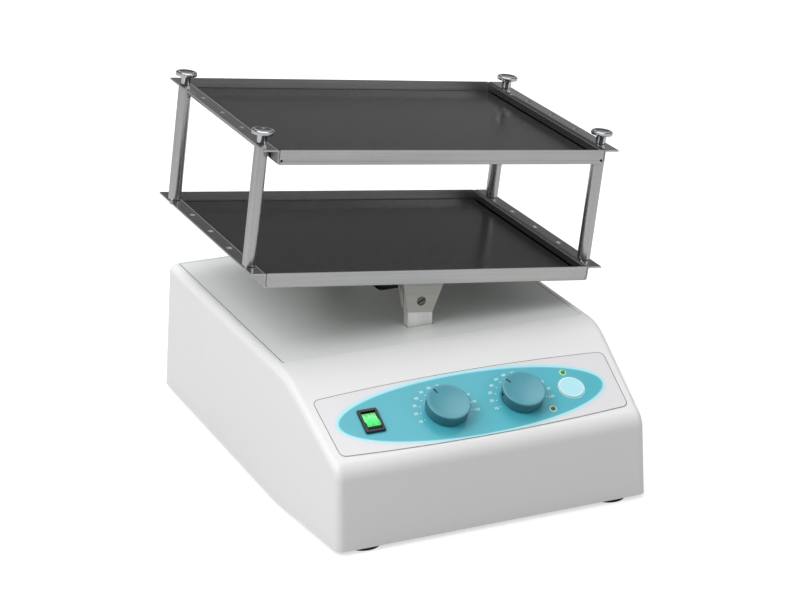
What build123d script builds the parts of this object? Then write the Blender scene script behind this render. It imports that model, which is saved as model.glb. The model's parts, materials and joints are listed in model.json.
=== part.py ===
# Two-deck laboratory rocker: a painted housing with a sloped control panel carries two pivot posts,
# and two stacked steel trays rock from side to side on them.
# The frame stands on the floor at z = 0, the control panel faces -Y and +X is to the right of it.
# Most pieces are drawn about the housing's middle plane and moved sideways by BODY_X when saved.
import os
from math import atan2, cos, degrees, pi, radians, sin, tan

from build123d import *

# Driving dimensions, in millimetres and degrees.
# Housing shell
BASE_WIDTH = 258.8
BASE_DEPTH = 334.4
EDGE_Z = 2.8
TOP_Z = 104.5
BEND_Z = 61.4
BROW_Y = -80.5
SIDE_DRAFT = 2.1
FRONT_DRAFT = 3.6
REAR_DRAFT = 4.0
NOSE_Y = -72.7
NOSE_TAPER = 9.1
WALL = 3.0
BEND_RADIUS = 14.0
BROW_RADIUS = 60.0
REAR_RADIUS = 4.0
EDGE_RADIUS = 6.0
NOSE_RADIUS = 80.0

# Base plate, feet and their screws
PLATE_Z = 4.0
PLATE_THICKNESS = 2.0
FOOT_RADIUS = 13.8
FOOT_TAPER = 0.8
FOOT_GAP = 0.2
FOOT_NECK_RADIUS = 9.0
FOOT_RECESS_RADIUS = 4.5
FOOT_RECESS_DEPTH = 2.0
FOOT_FRONT_INSET = (33.4, 14.2)
FOOT_REAR_INSET = (24.4, 21.2)
FOOT_SCREW_HEAD_RADIUS = 3.8
FOOT_SCREW_HEAD_HEIGHT = 1.6
FOOT_SCREW_LENGTH = 15.0
BOSS_RADIUS = 5.0
BOSS_HEIGHT = 34.0
BOSS_RIB = 3.0
BOSS_BORE_DEPTH = 14.0
BASE_SCREW_HEAD = 1.1
BASE_SCREW_HEAD_RADIUS = 3.4
BASE_SCREW_REACH = 12.0
VENT_COUNT = 9
VENT_PITCH = 12.0
VENT_WIDTH = 4.0
VENT_LENGTH = 50.0
VENT_CORNER = 1.9
VENT_SIDE_INSET = 29.4
VENT_FRONT_INSET = 71.2

# Top cover
COVER_SIDE_INSET = 11.0
COVER_FRONT_INSET = 15.6
COVER_REAR_INSET = 11.4
COVER_THICKNESS = 1.5
COVER_LEDGE = 9.0
COVER_CORNER = 2.0
YOKE_WAY_DEPTH = 16.0
YOKE_WAY_LEFT = 10.0
YOKE_WAY_RIGHT = 4.0
YOKE_WAY_CORNER = 3.0

# Platform: pivot axis, trays and posts
PIVOT_Z = 124.2
REST_TILT = 7.2
ROCK_ANGLE = 9.0
PLATFORM_Y = 48.3
TRAY_INNER_WIDTH = 258.6
TRAY_FLANGE = 10.7
TRAY_DEPTH = 195.0
TRAY_HEIGHT = 10.8
TRAY_SHEET = 1.2
TRAY_BEND = 1.0
LOWER_DECK_W = 27.2
DECK_SPACING = 89.8
HOLE_PITCH = 39.35
STRAP_HOLE_RADIUS = 2.5
POST_RADIUS = 4.9
POST_THREAD_RADIUS = 2.0
MAT_THICKNESS = 2.5
MAT_GAP = 1.2
MAT_CORNER = 3.0
GROOVE_HEIGHT = 3.0
GROOVE_WIDTH = 0.6
GROOVE_DEPTH = 0.4
GROOVE_END = 3.0
RELIEF_RADIUS = 1.0
POST_CHAMFER = 0.4
POST_LOWER_BORE = 12.0
POST_UPPER_BORE = 16.0
POST_SCREW_HEAD_RADIUS = 3.6
POST_SCREW_HEAD_HEIGHT = 2.4
POST_SCREW_LENGTH = 11.0

# Thumb screws
THUMB_HEAD_RADIUS = 8.1
THUMB_HEAD_HEIGHT = 3.2
THUMB_BARREL_RADIUS = 3.7
THUMB_BARREL_HEIGHT = 6.4
THUMB_REACH = 12.0
THUMB_KNURLS = 40
THUMB_KNURL_RADIUS = 0.35
THUMB_KNURL_OUT = 0.15
THUMB_HEAD_ROUND = 1.1
THUMB_DISH_DEPTH = 0.5
THUMB_DISH_RIM = 3.4

# Pivots
POST_BAR_WIDTH = 19.6
POST_BAR_THICKNESS = 8.0
POST_BAR_OVER = 10.0
BRACKET_FACE_Y = -39.1
BRACKET_SHEET = 1.5
BRACKET_TOP_WIDTH = 34.0
BRACKET_FOOT_WIDTH = 19.8
BRACKET_DROP = 8.6
BRACKET_PLAY = 0.4
PIVOT_PIN_RADIUS = 3.0
PIVOT_ACCESS_RADIUS = 3.5
PIVOT_PIN_RECESS = 0.4
PIVOT_PIN_BEYOND = 4.0
PIVOT_SLOT_WIDTH = 1.0
PIVOT_SLOT_DEPTH = 1.2
PIVOT_SLOT_TURN = -38.0
POST_BAR_ROUND = 5.0
RIVET_RADIUS = 1.5
RIVET_HEAD_RADIUS = 2.6
RIVET_HEAD_HEIGHT = 1.2
BRACKET_RIVET_U = 11.0
BUSH_WALL = 1.5
RUNNING_FIT = 0.05

# Drive: a crank roller runs in the slot of a yoke that hangs from the lower tray
CRANK_ARM = 32.0
CRANK_DROP = 45.0
ROLLER_RADIUS = 6.5
ROLLER_WIDTH = 5.0
CRANK_PIN_RADIUS = 2.0
CRANK_DISC_RADIUS = 14.0
CRANK_DISC_THICKNESS = 8.0
CRANK_DISC_GAP = 1.5
CRANK_DISC_CHAMFER = 0.6
CRANK_PIN_BORE = 5.0
CRANK_SHAFT_BORE = 2.0
CRANK_PIN_CAP_RADIUS = 3.5
CRANK_PIN_CAP = 2.2
CRANK_COLLAR_RADIUS = 3.2
CRANK_COLLAR = 1.2
ROLLER_CHAMFER = 0.4
ROLLER_END_PLAY = 0.3
YOKE_SHEET = 3.0
YOKE_SLOT_PLAY = 1.1
YOKE_SLOT_LENGTH = 31.0
YOKE_RIM = 5.0
YOKE_NECK = 16.0
YOKE_CORNER = 8.0
YOKE_SLOT_RISE = 0.14
YOKE_FOOT_WIDTH = 32.0
YOKE_FOOT_REACH = 11.0
YOKE_RIVET_U = 10.0
YOKE_RIVET_V = 7.0
SHAFT_RADIUS = 3.0
SHAFT_IN_GEARBOX = 10.0
GEARBOX_RADIUS = 18.5
GEARBOX_LENGTH = 24.0
GEARBOX_NOSE_RADIUS = 6.0
GEARBOX_NOSE = 4.5
GEARBOX_SCREW_CIRCLE = 14.0
GEARBOX_THREAD = 6.0
MOTOR_SCREW_RADIUS = 1.5
MOTOR_SCREW_HEAD_RADIUS = 2.75
MOTOR_SCREW_HEAD = 2.0
MOTOR_RADIUS = 17.0
MOTOR_LENGTH = 46.0
MOTOR_END_ROUND = 2.0
MOTOR_TAB_SPREAD = 6.0
MOTOR_TAB_WIDTH = 2.8
MOTOR_TAB_THICKNESS = 0.6
MOTOR_TAB_LENGTH = 5.0
MOTOR_BRACKET_SHEET = 2.5
MOTOR_BRACKET_FOOT = 40.0
MOTOR_BRACKET_HALF = 24.0
MOTOR_BRACKET_OVER = 21.0
MOTOR_BRACKET_GAP = 3.5
MOTOR_WEB_HEIGHT = 46.0
BRACKET_SCREW_U = 17.0
BRACKET_SCREW_ROWS = (14.0, 32.0)

# Control panel, on the slope: S runs up the slope from the bend and N points out of it
OVERLAY_LOW_HALF = 111.3
OVERLAY_HIGH_HALF = 114.0
OVERLAY_LOW_S = 12.6
OVERLAY_HIGH_S = 64.4
OVERLAY_LOW_BOW = 3.9
OVERLAY_HIGH_BOW = 4.4
OVERLAY_CORNER = 5.0
OVERLAY_THICKNESS = 0.4
KNOB_S = 36.2
SPEED_KNOB_X = -22.7
TIME_KNOB_X = 35.9
KNOB_TOP_RADIUS = 15.9
KNOB_FOOT_RADIUS = 15.4
KNOB_HEIGHT = 9.4
KNOB_GAP = 0.6
KNOB_SHELL = 2.0
KNOB_ROUND = 0.9
KNOB_TOP_STEP = 0.3
KNOB_CAVITY_RADIUS = 8.5
KNOB_CAVITY_DEPTH = 4.0
KNOB_GRUB_RADIUS = 1.5
KNOB_GRUB_HEIGHT = 6.0
KNOB_GRUB_TURN = 45.0
KNOB_MARK_START = 9.6
KNOB_MARK_END = 15.2
KNOB_MARK_WIDTH = 1.1
KNOB_MARK_DEPTH = 0.5
KNOB_HOLE_RADIUS = 7.5
SPEED_POINTER = 142.0
TIME_POINTER = 140.0
POT_SIDE = 17.0
POT_DEPTH = 8.5
POT_BUSH_RADIUS = 3.5
POT_BUSH_TOP = 3.4
POT_SHAFT_RADIUS = 3.0
POT_SHAFT_CUSHION = 0.2
POT_SHAFT_DEEP = 2.0
POT_SHAFT_END_PLAY = 0.2
POT_TAB_PITCH = 5.0
POT_TAB_WIDTH = 1.2
POT_TAB_LENGTH = 3.0
POT_TAB_THICKNESS = 0.8
POT_NUT_RADIUS = 5.8
POT_NUT_HEIGHT = 2.2
SWITCH_X = -79.2
SWITCH_S = 38.1
SWITCH_BEZEL = (15.0, 21.0)
SWITCH_BODY = (12.8, 18.8)
SWITCH_DEPTH = 20.0
SWITCH_BEZEL_HEIGHT = 1.8
SWITCH_BEZEL_CORNER = 1.2
SWITCH_BEZEL_CHAMFER = 0.5
SWITCH_LIP = 0.6
SWITCH_TAB = (4.8, 0.8, 8.0)
SWITCH_TAB_PITCH = 6.0
ROCKER_RADIUS = 8.5
ROCKER_PLAY = 0.25
ROCKER_SIDE_PLAY = 0.2
ROCKER_WIDTH = 10.4
ROCKER_VALLEY = 5.4
ROCKER_FLAT = 3.0
ROCKER_TRUNNION_RADIUS = 1.0
ROCKER_TRUNNION = 0.7
ROCKER_TRUNNION_PLAY = 0.1
ROCKER_ANGLE = 10.0
ROCKER_PIVOT_N = -4.0
KEY_X = 76.3
KEY_S = 36.9
KEY_RADIUS = 9.1
KEY_TRAVEL = 0.5
KEY_GAP = 0.1
KEY_CAP = 0.8
KEY_ROUND = 0.35
KEY_STEM_RADIUS = 2.5
KEY_SWITCH_HEIGHT = 5.0
KEY_SWITCH_SIDE = 6.0
RUN_LAMP = (75.8, 51.7)
HOLD_LAMP = (54.8, 21.4)
LAMP_RADIUS = 1.5
LAMP_PROUD = 0.3
LAMP_FLANGE = 0.4
LAMP_FLANGE_HEIGHT = 1.0
BOARD_N = -13.0
BOARD_THICKNESS = 1.6
BOARD_CORNER = 2.0
BOARD_FIXINGS = [(-54.0, 14.0), (-54.0, 58.0), (96.0, 14.0), (96.0, 58.0)]
BOARD_EDGE = 5.0
BOARD_BOSS_RADIUS = 3.0
BOARD_SCREW_RADIUS = 1.25
BOARD_SCREW_HEAD_RADIUS = 2.4
BOARD_SCREW_HEAD = 1.6
BOARD_SCREW_REACH = 6.0
BOARD_CHIPS = [
    (6.0, 22.0, 12.0, 2.5),
    (6.0, 50.0, 9.0, 2.0),
    (58.0, 50.0, 10.0, 2.5),
    (-42.0, 24.0, 6.0, 3.0),
]
BOARD_CANS = [-36.0, -26.0, 12.0, 22.0, 70.0]
BOARD_CAN_S = 11.0
BOARD_CAN_RADIUS = 3.0
BOARD_CAN_HEIGHT = 7.0

# Rear panel and supply
INLET_X = -70.0
INLET_S = 42.0
INLET_FACE = (31.0, 25.0)
INLET_BODY = (26.6, 19.6)
INLET_CORNER = 2.0
INLET_RIM = 2.0
INLET_DEPTH = 18.0
INLET_FLOOR = 2.5
INLET_POCKET = (23.6, 16.0)
INLET_POCKET_CORNER = 4.4
INLET_LATCH = (1.0, 8.0, 2.3)
INLET_LATCH_X = 13.3
INLET_LATCH_GAP = 0.2
INLET_BLADES = [(-7.0, -2.0), (7.0, -2.0), (0.0, 2.0)]
INLET_BLADE = (2.0, 4.0)
INLET_BLADE_TOP = 5.5
INLET_BLADE_LENGTH = 18.5
FUSE_X = -28.0
FUSE_RADIUS = 6.0
FUSE_RIM_RADIUS = 8.0
FUSE_RIM = 2.0
FUSE_CAP = 2.0
FUSE_DEPTH = 32.0
FUSE_NUT = 3.0
FUSE_SLOT = (8.0, 1.2, 1.0)
FUSE_FIT = 0.2
RATING_X = 45.0
RATING_SIZE = (64.0, 34.0)
RATING_CORNER = 3.0
RATING_THICKNESS = 0.4
SUPPLY_SIDE_INSET = 57.4
SUPPLY_REAR_INSET = 89.2
SUPPLY_SIZE = (80.0, 108.0)
SUPPLY_FIXING = (36.0, 50.0)
SUPPLY_PILLAR = 8.0
SUPPLY_PILLAR_RADIUS = 3.0
SUPPLY_CANS = [(-26.0, -38.0, 8.0, 25.0), (-26.0, -18.0, 6.0, 20.0)]
SUPPLY_SINK = (30.0, 4.0, 22.0)
SUPPLY_SINK_PLACE = (19.0, -42.0)
SUPPLY_PARTS = 4
SUPPLY_PART = (8.0, 6.0, 6.0)
SUPPLY_PART_X = -2.0
SUPPLY_PART_Y = -41.0
SUPPLY_PART_PITCH = 9.0
TRANSFORMER_Y = 26.0
CORE_SIZE = (54.0, 28.0, 44.0)
CORE_LIMB = 13.0
CORE_YOKE = 9.0
CORE_WINDOW_X = 13.0
WINDING_SIZE = (38.0, 44.0)
WINDING_END_GAP = 0.6
WINDING_CORNER = 5.0

# Everyday fits and features
FIT = 0.3
THREAD_FIT = 0.05
SEAT_GAP = 0.2
SCREW_SLOT = 0.8
SCREW_SLOT_LEVEL = 0.55

# How far a cutting shape runs past what it cuts
PAST = 1.0

# Worked out from the sizes above
SLOPE_FOOT_Y = -BASE_DEPTH / 2 + (BEND_Z - EDGE_Z) * tan(radians(FRONT_DRAFT))
SLOPE_ANGLE = degrees(atan2(TOP_Z - BEND_Z, BROW_Y - SLOPE_FOOT_Y))
PANEL = Plane(
    origin=(0, SLOPE_FOOT_Y, BEND_Z),
    x_dir=(1, 0, 0),
    z_dir=(0, -sin(radians(SLOPE_ANGLE)), cos(radians(SLOPE_ANGLE))),
)
REAR_PANEL = Plane(
    origin=(0, BASE_DEPTH / 2, EDGE_Z),
    x_dir=(-1, 0, 0),
    z_dir=(0, cos(radians(REAR_DRAFT)), sin(radians(REAR_DRAFT))),
)
PLATFORM = Location((0, 0, PIVOT_Z)) * Location((0, 0, 0), (0, REST_TILT, 0))
PLATE_TOP = PLATE_Z + PLATE_THICKNESS
FOOT_FRONT = (BASE_WIDTH / 2 - FOOT_FRONT_INSET[0], -BASE_DEPTH / 2 + FOOT_FRONT_INSET[1])
FOOT_REAR = (BASE_WIDTH / 2 - FOOT_REAR_INSET[0], BASE_DEPTH / 2 - FOOT_REAR_INSET[1])
COVER_WIDTH = BASE_WIDTH - 2 * COVER_SIDE_INSET
COVER_FRONT_Y = BROW_Y + COVER_FRONT_INSET
COVER_REAR_Y = BASE_DEPTH / 2 - COVER_REAR_INSET
SUPPLY_X = -BASE_WIDTH / 2 + SUPPLY_SIDE_INSET
SUPPLY_Y = BASE_DEPTH / 2 - SUPPLY_REAR_INSET
TRAY_WIDTH = TRAY_INNER_WIDTH + 2 * TRAY_FLANGE
UPPER_DECK_W = LOWER_DECK_W + DECK_SPACING
TRAY_BOTTOM_W = LOWER_DECK_W - TRAY_HEIGHT
POST_U = (TRAY_WIDTH + TRAY_INNER_WIDTH) / 4
POST_V = (PLATFORM_Y - 2 * HOLE_PITCH, PLATFORM_Y + 2 * HOLE_PITCH)
CRANK_RADIUS = CRANK_ARM * sin(radians(ROCK_ANGLE))
CRANK_REST_ANGLE = -90 * REST_TILT / ROCK_ANGLE
CRANK_Z = PIVOT_Z - CRANK_DROP
REAR_BRACKET_FACE_Y = 2 * PLATFORM_Y - BRACKET_FACE_Y
BAR_FRONT_Y = BRACKET_FACE_Y + BRACKET_SHEET + BRACKET_PLAY
BRACKET_DEPTH = 2 * (BRACKET_SHEET + BRACKET_PLAY) + POST_BAR_THICKNESS
CRANK_DISC_Y = PLATFORM_Y + ROLLER_WIDTH / 2 + CRANK_DISC_GAP
MOTOR_PLATE_Y = CRANK_DISC_Y + CRANK_DISC_THICKNESS + MOTOR_BRACKET_GAP
GEARBOX_Y = MOTOR_PLATE_Y + MOTOR_BRACKET_SHEET

# The middle of the tilted machine's box: from the lower tray's left tip to the right upper thumb screws
TILT = radians(REST_TILT)
LEFT_TIP = -TRAY_WIDTH / 2 * cos(TILT) + (LOWER_DECK_W - TRAY_SHEET) * sin(TILT)
THUMB_TOP_W = UPPER_DECK_W + THUMB_BARREL_HEIGHT + THUMB_HEAD_HEIGHT
RIGHT_TIP = (POST_U + THUMB_HEAD_RADIUS) * cos(TILT) + THUMB_TOP_W * sin(TILT)
BODY_X = -(LEFT_TIP + RIGHT_TIP) / 2


def block(x0, x1, y0, y1, z0, z1):
    """A box between two corners."""
    return Pos((x0 + x1) / 2, (y0 + y1) / 2, (z0 + z1) / 2) * Box(x1 - x0, y1 - y0, z1 - z0)


def pad(x0, x1, y0, y1, z0, z1, radius):
    """A box with its upright edges rounded."""
    return fillet(block(x0, x1, y0, y1, z0, z1).edges().filter_by(Axis.Z), radius)


def rod(x, y, z0, z1, radius, top_radius=None):
    """An upright cylinder or cone between two heights."""
    place = Pos(x, y, (z0 + z1) / 2)
    if top_radius is None:
        return place * Cylinder(radius, z1 - z0)
    return place * Cone(radius, top_radius, z1 - z0)


def rod_y(x, z, y0, y1, radius):
    """A cylinder along Y."""
    return Pos(x, (y0 + y1) / 2, z) * Rot(90, 0, 0) * Cylinder(radius, y1 - y0)


def rod_x(y, z, x0, x1, radius):
    """A cylinder along X."""
    return Pos((x0 + x1) / 2, y, z) * Rot(0, 90, 0) * Cylinder(radius, x1 - x0)


def slotted_screw(z, head_radius, head_height, radius, length):
    """A slotted screw at the origin whose head hangs below height z and whose shank goes up from there."""
    screw = rod(0, 0, z - head_height, z, head_radius) + rod(0, 0, z, z + length, radius)
    half = SCREW_SLOT / 2
    slot_z = z - SCREW_SLOT_LEVEL * head_height
    return screw - block(-head_radius, head_radius, -half, half, z - head_height, slot_z)


def save(name, shape):
    export_step(Pos(BODY_X, 0, 0) * shape, f"parts/{name}.step")


def side_profile(bottom_z):
    """The housing seen from the side, with its walls carried on down to bottom_z."""
    drop = EDGE_Z - bottom_z
    front = (-BASE_DEPTH / 2 - drop * tan(radians(FRONT_DRAFT)), bottom_z)
    rear = (BASE_DEPTH / 2 + drop * tan(radians(REAR_DRAFT)), bottom_z)
    rear_top = (BASE_DEPTH / 2 - (TOP_Z - EDGE_Z) * tan(radians(REAR_DRAFT)), TOP_Z)
    line = FilletPolyline(
        front,
        (SLOPE_FOOT_Y, BEND_Z),
        (BROW_Y, TOP_Z),
        rear_top,
        rear,
        radius=[BEND_RADIUS, BROW_RADIUS, REAR_RADIUS],
    )
    return make_face(line + Line(rear, front))


def plan_outline(z, inset):
    """The housing's side walls seen from above at height z, open past its front and rear."""
    past = 20.0
    half = BASE_WIDTH / 2 - (z - EDGE_Z) * tan(radians(SIDE_DRAFT)) - inset
    front_y = -BASE_DEPTH / 2 - past
    narrowing = NOSE_TAPER / (NOSE_Y + BASE_DEPTH / 2)
    nose = half - narrowing * (NOSE_Y - front_y)
    rear_y = BASE_DEPTH / 2 + past
    left = FilletPolyline((-half, rear_y), (-half, NOSE_Y), (-nose, front_y), radius=NOSE_RADIUS)
    right = FilletPolyline((half, rear_y), (half, NOSE_Y), (nose, front_y), radius=NOSE_RADIUS)
    ends = Line((-nose, front_y), (nose, front_y)) + Line((half, rear_y), (-half, rear_y))
    return Pos(0, 0, z) * make_face(left + right + ends)


def housing_form(inset, bottom_z, edge_radius):
    """The housing's outer form, or its inner form when inset is a wall thickness."""
    profile = side_profile(bottom_z - inset)
    if inset:
        profile = offset(profile, -inset)
    slab = extrude(Plane.YZ * profile, BASE_WIDTH / 2 + WALL, both=True)
    plan = loft([plan_outline(bottom_z - 2 * WALL, inset), plan_outline(TOP_Z + WALL, inset)], ruled=True)
    form = slab & plan
    sides = [f for f in form.faces() if abs(f.normal_at().X) > 0.9]
    uses = {}
    for face in sides:
        for edge in face.edges():
            key = tuple(round(c, 3) for c in edge.center())
            uses.setdefault(key, []).append(edge)
    floor = form.bounding_box().min.Z
    rims = [found[0] for key, found in uses.items() if len(found) == 1 and key[2] > floor + 0.5]
    return fillet(rims, edge_radius)


def foot_places():
    return [(sign * x, y) for x, y in (FOOT_FRONT, FOOT_REAR) for sign in (-1, 1)]


def cover_sheet(grow, z0, z1):
    """The top cover's outline, grown by a clearance."""
    half = COVER_WIDTH / 2 + grow
    return pad(-half, half, COVER_FRONT_Y - grow, COVER_REAR_Y + grow, z0, z1, COVER_CORNER)


def panel_at(x, s, shape):
    """Puts a shape drawn about the origin, +Z outward, on the control panel."""
    return PANEL.location * Pos(x, s, 0) * shape


def upright(width, height, z0, z1):
    return block(-width / 2, width / 2, -height / 2, height / 2, z0, z1)


def housing_shell():
    shell = housing_form(0, EDGE_Z, EDGE_RADIUS) - housing_form(WALL, EDGE_Z, EDGE_RADIUS - WALL)
    shell -= cover_sheet(FIT / 2, TOP_Z - COVER_THICKNESS, TOP_Z + PAST)
    shell -= cover_sheet(-COVER_LEDGE, TOP_Z - 2 * WALL, TOP_Z)
    for x, y in foot_places():
        side = 1 if x > 0 else -1
        outer = BASE_WIDTH / 2 - WALL / 2 - (BOSS_HEIGHT * tan(radians(SIDE_DRAFT)))
        if y < NOSE_Y:
            outer -= NOSE_TAPER * (NOSE_Y - y) / (NOSE_Y + BASE_DEPTH / 2)
        boss = rod(x, y, PLATE_TOP, PLATE_TOP + BOSS_HEIGHT, BOSS_RADIUS)
        rib = BOSS_RIB / 2
        boss += block(
            min(x, side * outer), max(x, side * outer), y - rib, y + rib, PLATE_TOP, PLATE_TOP + BOSS_HEIGHT
        )
        shell += boss
        shell -= rod(x, y, 0, PLATE_TOP + BOSS_BORE_DEPTH, POST_THREAD_RADIUS + THREAD_FIT)
    for x, s in BOARD_FIXINGS:
        shell += panel_at(x, s, rod(0, 0, BOARD_N, -WALL / 2, BOARD_BOSS_RADIUS))
        shell -= panel_at(x, s, rod(0, 0, BOARD_N - PAST, -WALL - PAST, BOARD_SCREW_RADIUS + THREAD_FIT))
    cuts = [
        (SWITCH_X, SWITCH_S, upright(SWITCH_BODY[0] + FIT, SWITCH_BODY[1] + FIT, -2 * WALL, PAST)),
        (SPEED_KNOB_X, KNOB_S, rod(0, 0, -2 * WALL, PAST, POT_BUSH_RADIUS + FIT)),
        (TIME_KNOB_X, KNOB_S, rod(0, 0, -2 * WALL, PAST, POT_BUSH_RADIUS + FIT)),
        (KEY_X, KEY_S, rod(0, 0, -2 * WALL, PAST, KEY_STEM_RADIUS + FIT)),
        (*RUN_LAMP, rod(0, 0, -2 * WALL, PAST, LAMP_RADIUS + FIT / 2)),
        (*HOLD_LAMP, rod(0, 0, -2 * WALL, PAST, LAMP_RADIUS + FIT / 2)),
    ]
    for x, s, cut in cuts:
        shell -= panel_at(x, s, cut)
    body_x, body_s = INLET_BODY
    shell -= rear_at(INLET_X, INLET_S, upright(body_x + 2 * FIT, body_s + 2 * FIT, -2 * WALL, PAST))
    return shell - rear_at(FUSE_X, INLET_S, rod(0, 0, -2 * WALL, PAST, FUSE_RADIUS + FUSE_FIT))


def top_cover():
    cover = cover_sheet(-FIT / 2, TOP_Z - COVER_THICKNESS, TOP_Z)
    for y in bar_middles():
        half_width = POST_BAR_WIDTH / 2 + FIT
        half_depth = POST_BAR_THICKNESS / 2 + FIT
        cover -= block(
            -half_width, half_width, y - half_depth, y + half_depth, TOP_Z - 2 * COVER_THICKNESS, TOP_Z + PAST
        )
    slot_x0 = CRANK_ARM - yoke_width() / 2 - YOKE_WAY_LEFT
    slot_x1 = CRANK_ARM + yoke_width() / 2 + YOKE_WAY_RIGHT
    slot_y0 = PLATFORM_Y - YOKE_WAY_DEPTH / 2
    slot_y1 = PLATFORM_Y + YOKE_WAY_DEPTH / 2
    low = TOP_Z - 2 * COVER_THICKNESS
    return cover - pad(slot_x0, slot_x1, slot_y0, slot_y1, low, TOP_Z + PAST, YOKE_WAY_CORNER)


def base_plate():
    inner = housing_form(WALL + FIT, EDGE_Z, EDGE_RADIUS - WALL)
    plate = inner & block(-BASE_WIDTH, BASE_WIDTH, -BASE_DEPTH, BASE_DEPTH, PLATE_Z, PLATE_TOP)
    for x, y in foot_places():
        plate -= rod(x, y, 0, PLATE_TOP + PAST, POST_THREAD_RADIUS + FIT)
    for x, y in base_screw_places():
        plate -= rod(x, y, 0, PLATE_TOP + PAST, POST_THREAD_RADIUS + FIT)
    for x, y in supply_fixings():
        plate -= rod(x, y, 0, PLATE_TOP + PAST, BOARD_SCREW_RADIUS + THREAD_FIT)
    vent_y = -BASE_DEPTH / 2 + VENT_FRONT_INSET
    for i in range(VENT_COUNT):
        x = -BASE_WIDTH / 2 + VENT_SIDE_INSET + VENT_PITCH * i
        plate -= pad(x, x + VENT_WIDTH, vent_y, vent_y + VENT_LENGTH, 0, PLATE_TOP + PAST, VENT_CORNER)
    return plate


def foot():
    pad_top = EDGE_Z - FOOT_GAP
    body = rod(0, 0, 0, pad_top, FOOT_RADIUS - FOOT_TAPER, FOOT_RADIUS)
    body += rod(0, 0, pad_top, PLATE_Z, FOOT_NECK_RADIUS)
    body -= rod(0, 0, -PAST, FOOT_RECESS_DEPTH, FOOT_RECESS_RADIUS)
    return body - rod(0, 0, -PAST, PLATE_Z + PAST, POST_THREAD_RADIUS + THREAD_FIT)


def foot_screw():
    return slotted_screw(
        FOOT_RECESS_DEPTH, FOOT_SCREW_HEAD_RADIUS, FOOT_SCREW_HEAD_HEIGHT, POST_THREAD_RADIUS,
        FOOT_SCREW_LENGTH,
    )


# Pivot posts, bushes and brackets


def bar_middles():
    half = POST_BAR_THICKNESS / 2
    return [BAR_FRONT_Y + half, 2 * PLATFORM_Y - BAR_FRONT_Y - half]


def bar_screw_xs():
    return [-POST_BAR_WIDTH / 4, POST_BAR_WIDTH / 4]


def pivot_post(y):
    half = POST_BAR_THICKNESS / 2
    edge = POST_BAR_WIDTH / 2
    bar = block(-edge, edge, y - half, y + half, PLATE_TOP, PIVOT_Z + POST_BAR_OVER)
    top = bar.edges().filter_by(Axis.Y).group_by(Axis.Z)[-1]
    bar = fillet(top, POST_BAR_ROUND)
    bore = PIVOT_PIN_RADIUS + RUNNING_FIT + BUSH_WALL + THREAD_FIT
    bar -= rod_y(0, PIVOT_Z, y - half - PAST, y + half + PAST, bore)
    for x in bar_screw_xs():
        bar -= rod(x, y, 0, PLATE_TOP + BOSS_BORE_DEPTH, POST_THREAD_RADIUS + THREAD_FIT)
    return bar


def pivot_bush(y):
    half = POST_BAR_THICKNESS / 2
    bore = PIVOT_PIN_RADIUS + RUNNING_FIT
    bush = rod_y(0, PIVOT_Z, y - half, y + half, bore + BUSH_WALL)
    return bush - rod_y(0, PIVOT_Z, y - half - PAST, y + half + PAST, bore)


def base_screw_places():
    return [(x, y) for y in bar_middles() for x in bar_screw_xs()] + bracket_screw_places()


def base_plate_screws():
    """Screws that come up through the base plate into the pivot posts and the motor bracket."""
    screws = []
    for x, y in base_screw_places():
        head = rod(x, y, PLATE_Z - BASE_SCREW_HEAD, PLATE_Z, BASE_SCREW_HEAD_RADIUS)
        screws.append(head + rod(x, y, PLATE_Z, PLATE_TOP + BASE_SCREW_REACH, POST_THREAD_RADIUS))
    return Compound(screws)


def pivot_bracket(front_y, front):
    """A folded channel under the lower tray; its two cheeks narrow towards the pivot."""
    reach = BRACKET_DEPTH
    cheek_top = TRAY_BOTTOM_W
    cheek = make_face(
        Polyline(
            (-BRACKET_TOP_WIDTH / 2, cheek_top),
            (BRACKET_TOP_WIDTH / 2, cheek_top),
            (BRACKET_FOOT_WIDTH / 2, -BRACKET_DROP),
            (-BRACKET_FOOT_WIDTH / 2, -BRACKET_DROP),
            close=True,
        )
    )
    channel = Pos(0, front_y + reach, 0) * extrude(Plane.XZ * cheek, reach)
    inner = [front_y + BRACKET_SHEET, front_y + reach - BRACKET_SHEET]
    wide = BRACKET_TOP_WIDTH
    channel -= block(-wide, wide, inner[0], inner[1], -BRACKET_DROP - PAST, cheek_top - BRACKET_SHEET)
    outer_hole = PIVOT_ACCESS_RADIUS
    inner_hole = PIVOT_PIN_RADIUS + THREAD_FIT
    middle = front_y + reach / 2
    first, second = (outer_hole, inner_hole) if front else (inner_hole, outer_hole)
    channel -= rod_y(0, 0, front_y - PAST, middle, first)
    channel -= rod_y(0, 0, middle, front_y + reach + PAST, second)
    for u in (-BRACKET_RIVET_U, BRACKET_RIVET_U):
        channel -= rod(u, middle, cheek_top - 2 * BRACKET_SHEET, cheek_top + PAST, RIVET_RADIUS + THREAD_FIT)
    return PLATFORM * channel


def pivot_pins():
    """Slotted pins, held by the cheek on the inner side and reached through the outer cheek's hole."""
    pins = []
    for face_y, side in ((BRACKET_FACE_Y, 1), (REAR_BRACKET_FACE_Y, -1)):
        start = face_y + side * PIVOT_PIN_RECESS
        end = face_y + side * (BRACKET_DEPTH - PIVOT_PIN_RECESS + PIVOT_PIN_BEYOND)
        pin = rod_y(0, 0, min(start, end), max(start, end), PIVOT_PIN_RADIUS)
        slot = Box(4 * PIVOT_PIN_RADIUS, 2 * PIVOT_SLOT_DEPTH, PIVOT_SLOT_WIDTH)
        pins.append(pin - Pos(0, start, 0) * Rot(0, PIVOT_SLOT_TURN, 0) * slot)
    return PLATFORM * Compound(pins)


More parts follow.
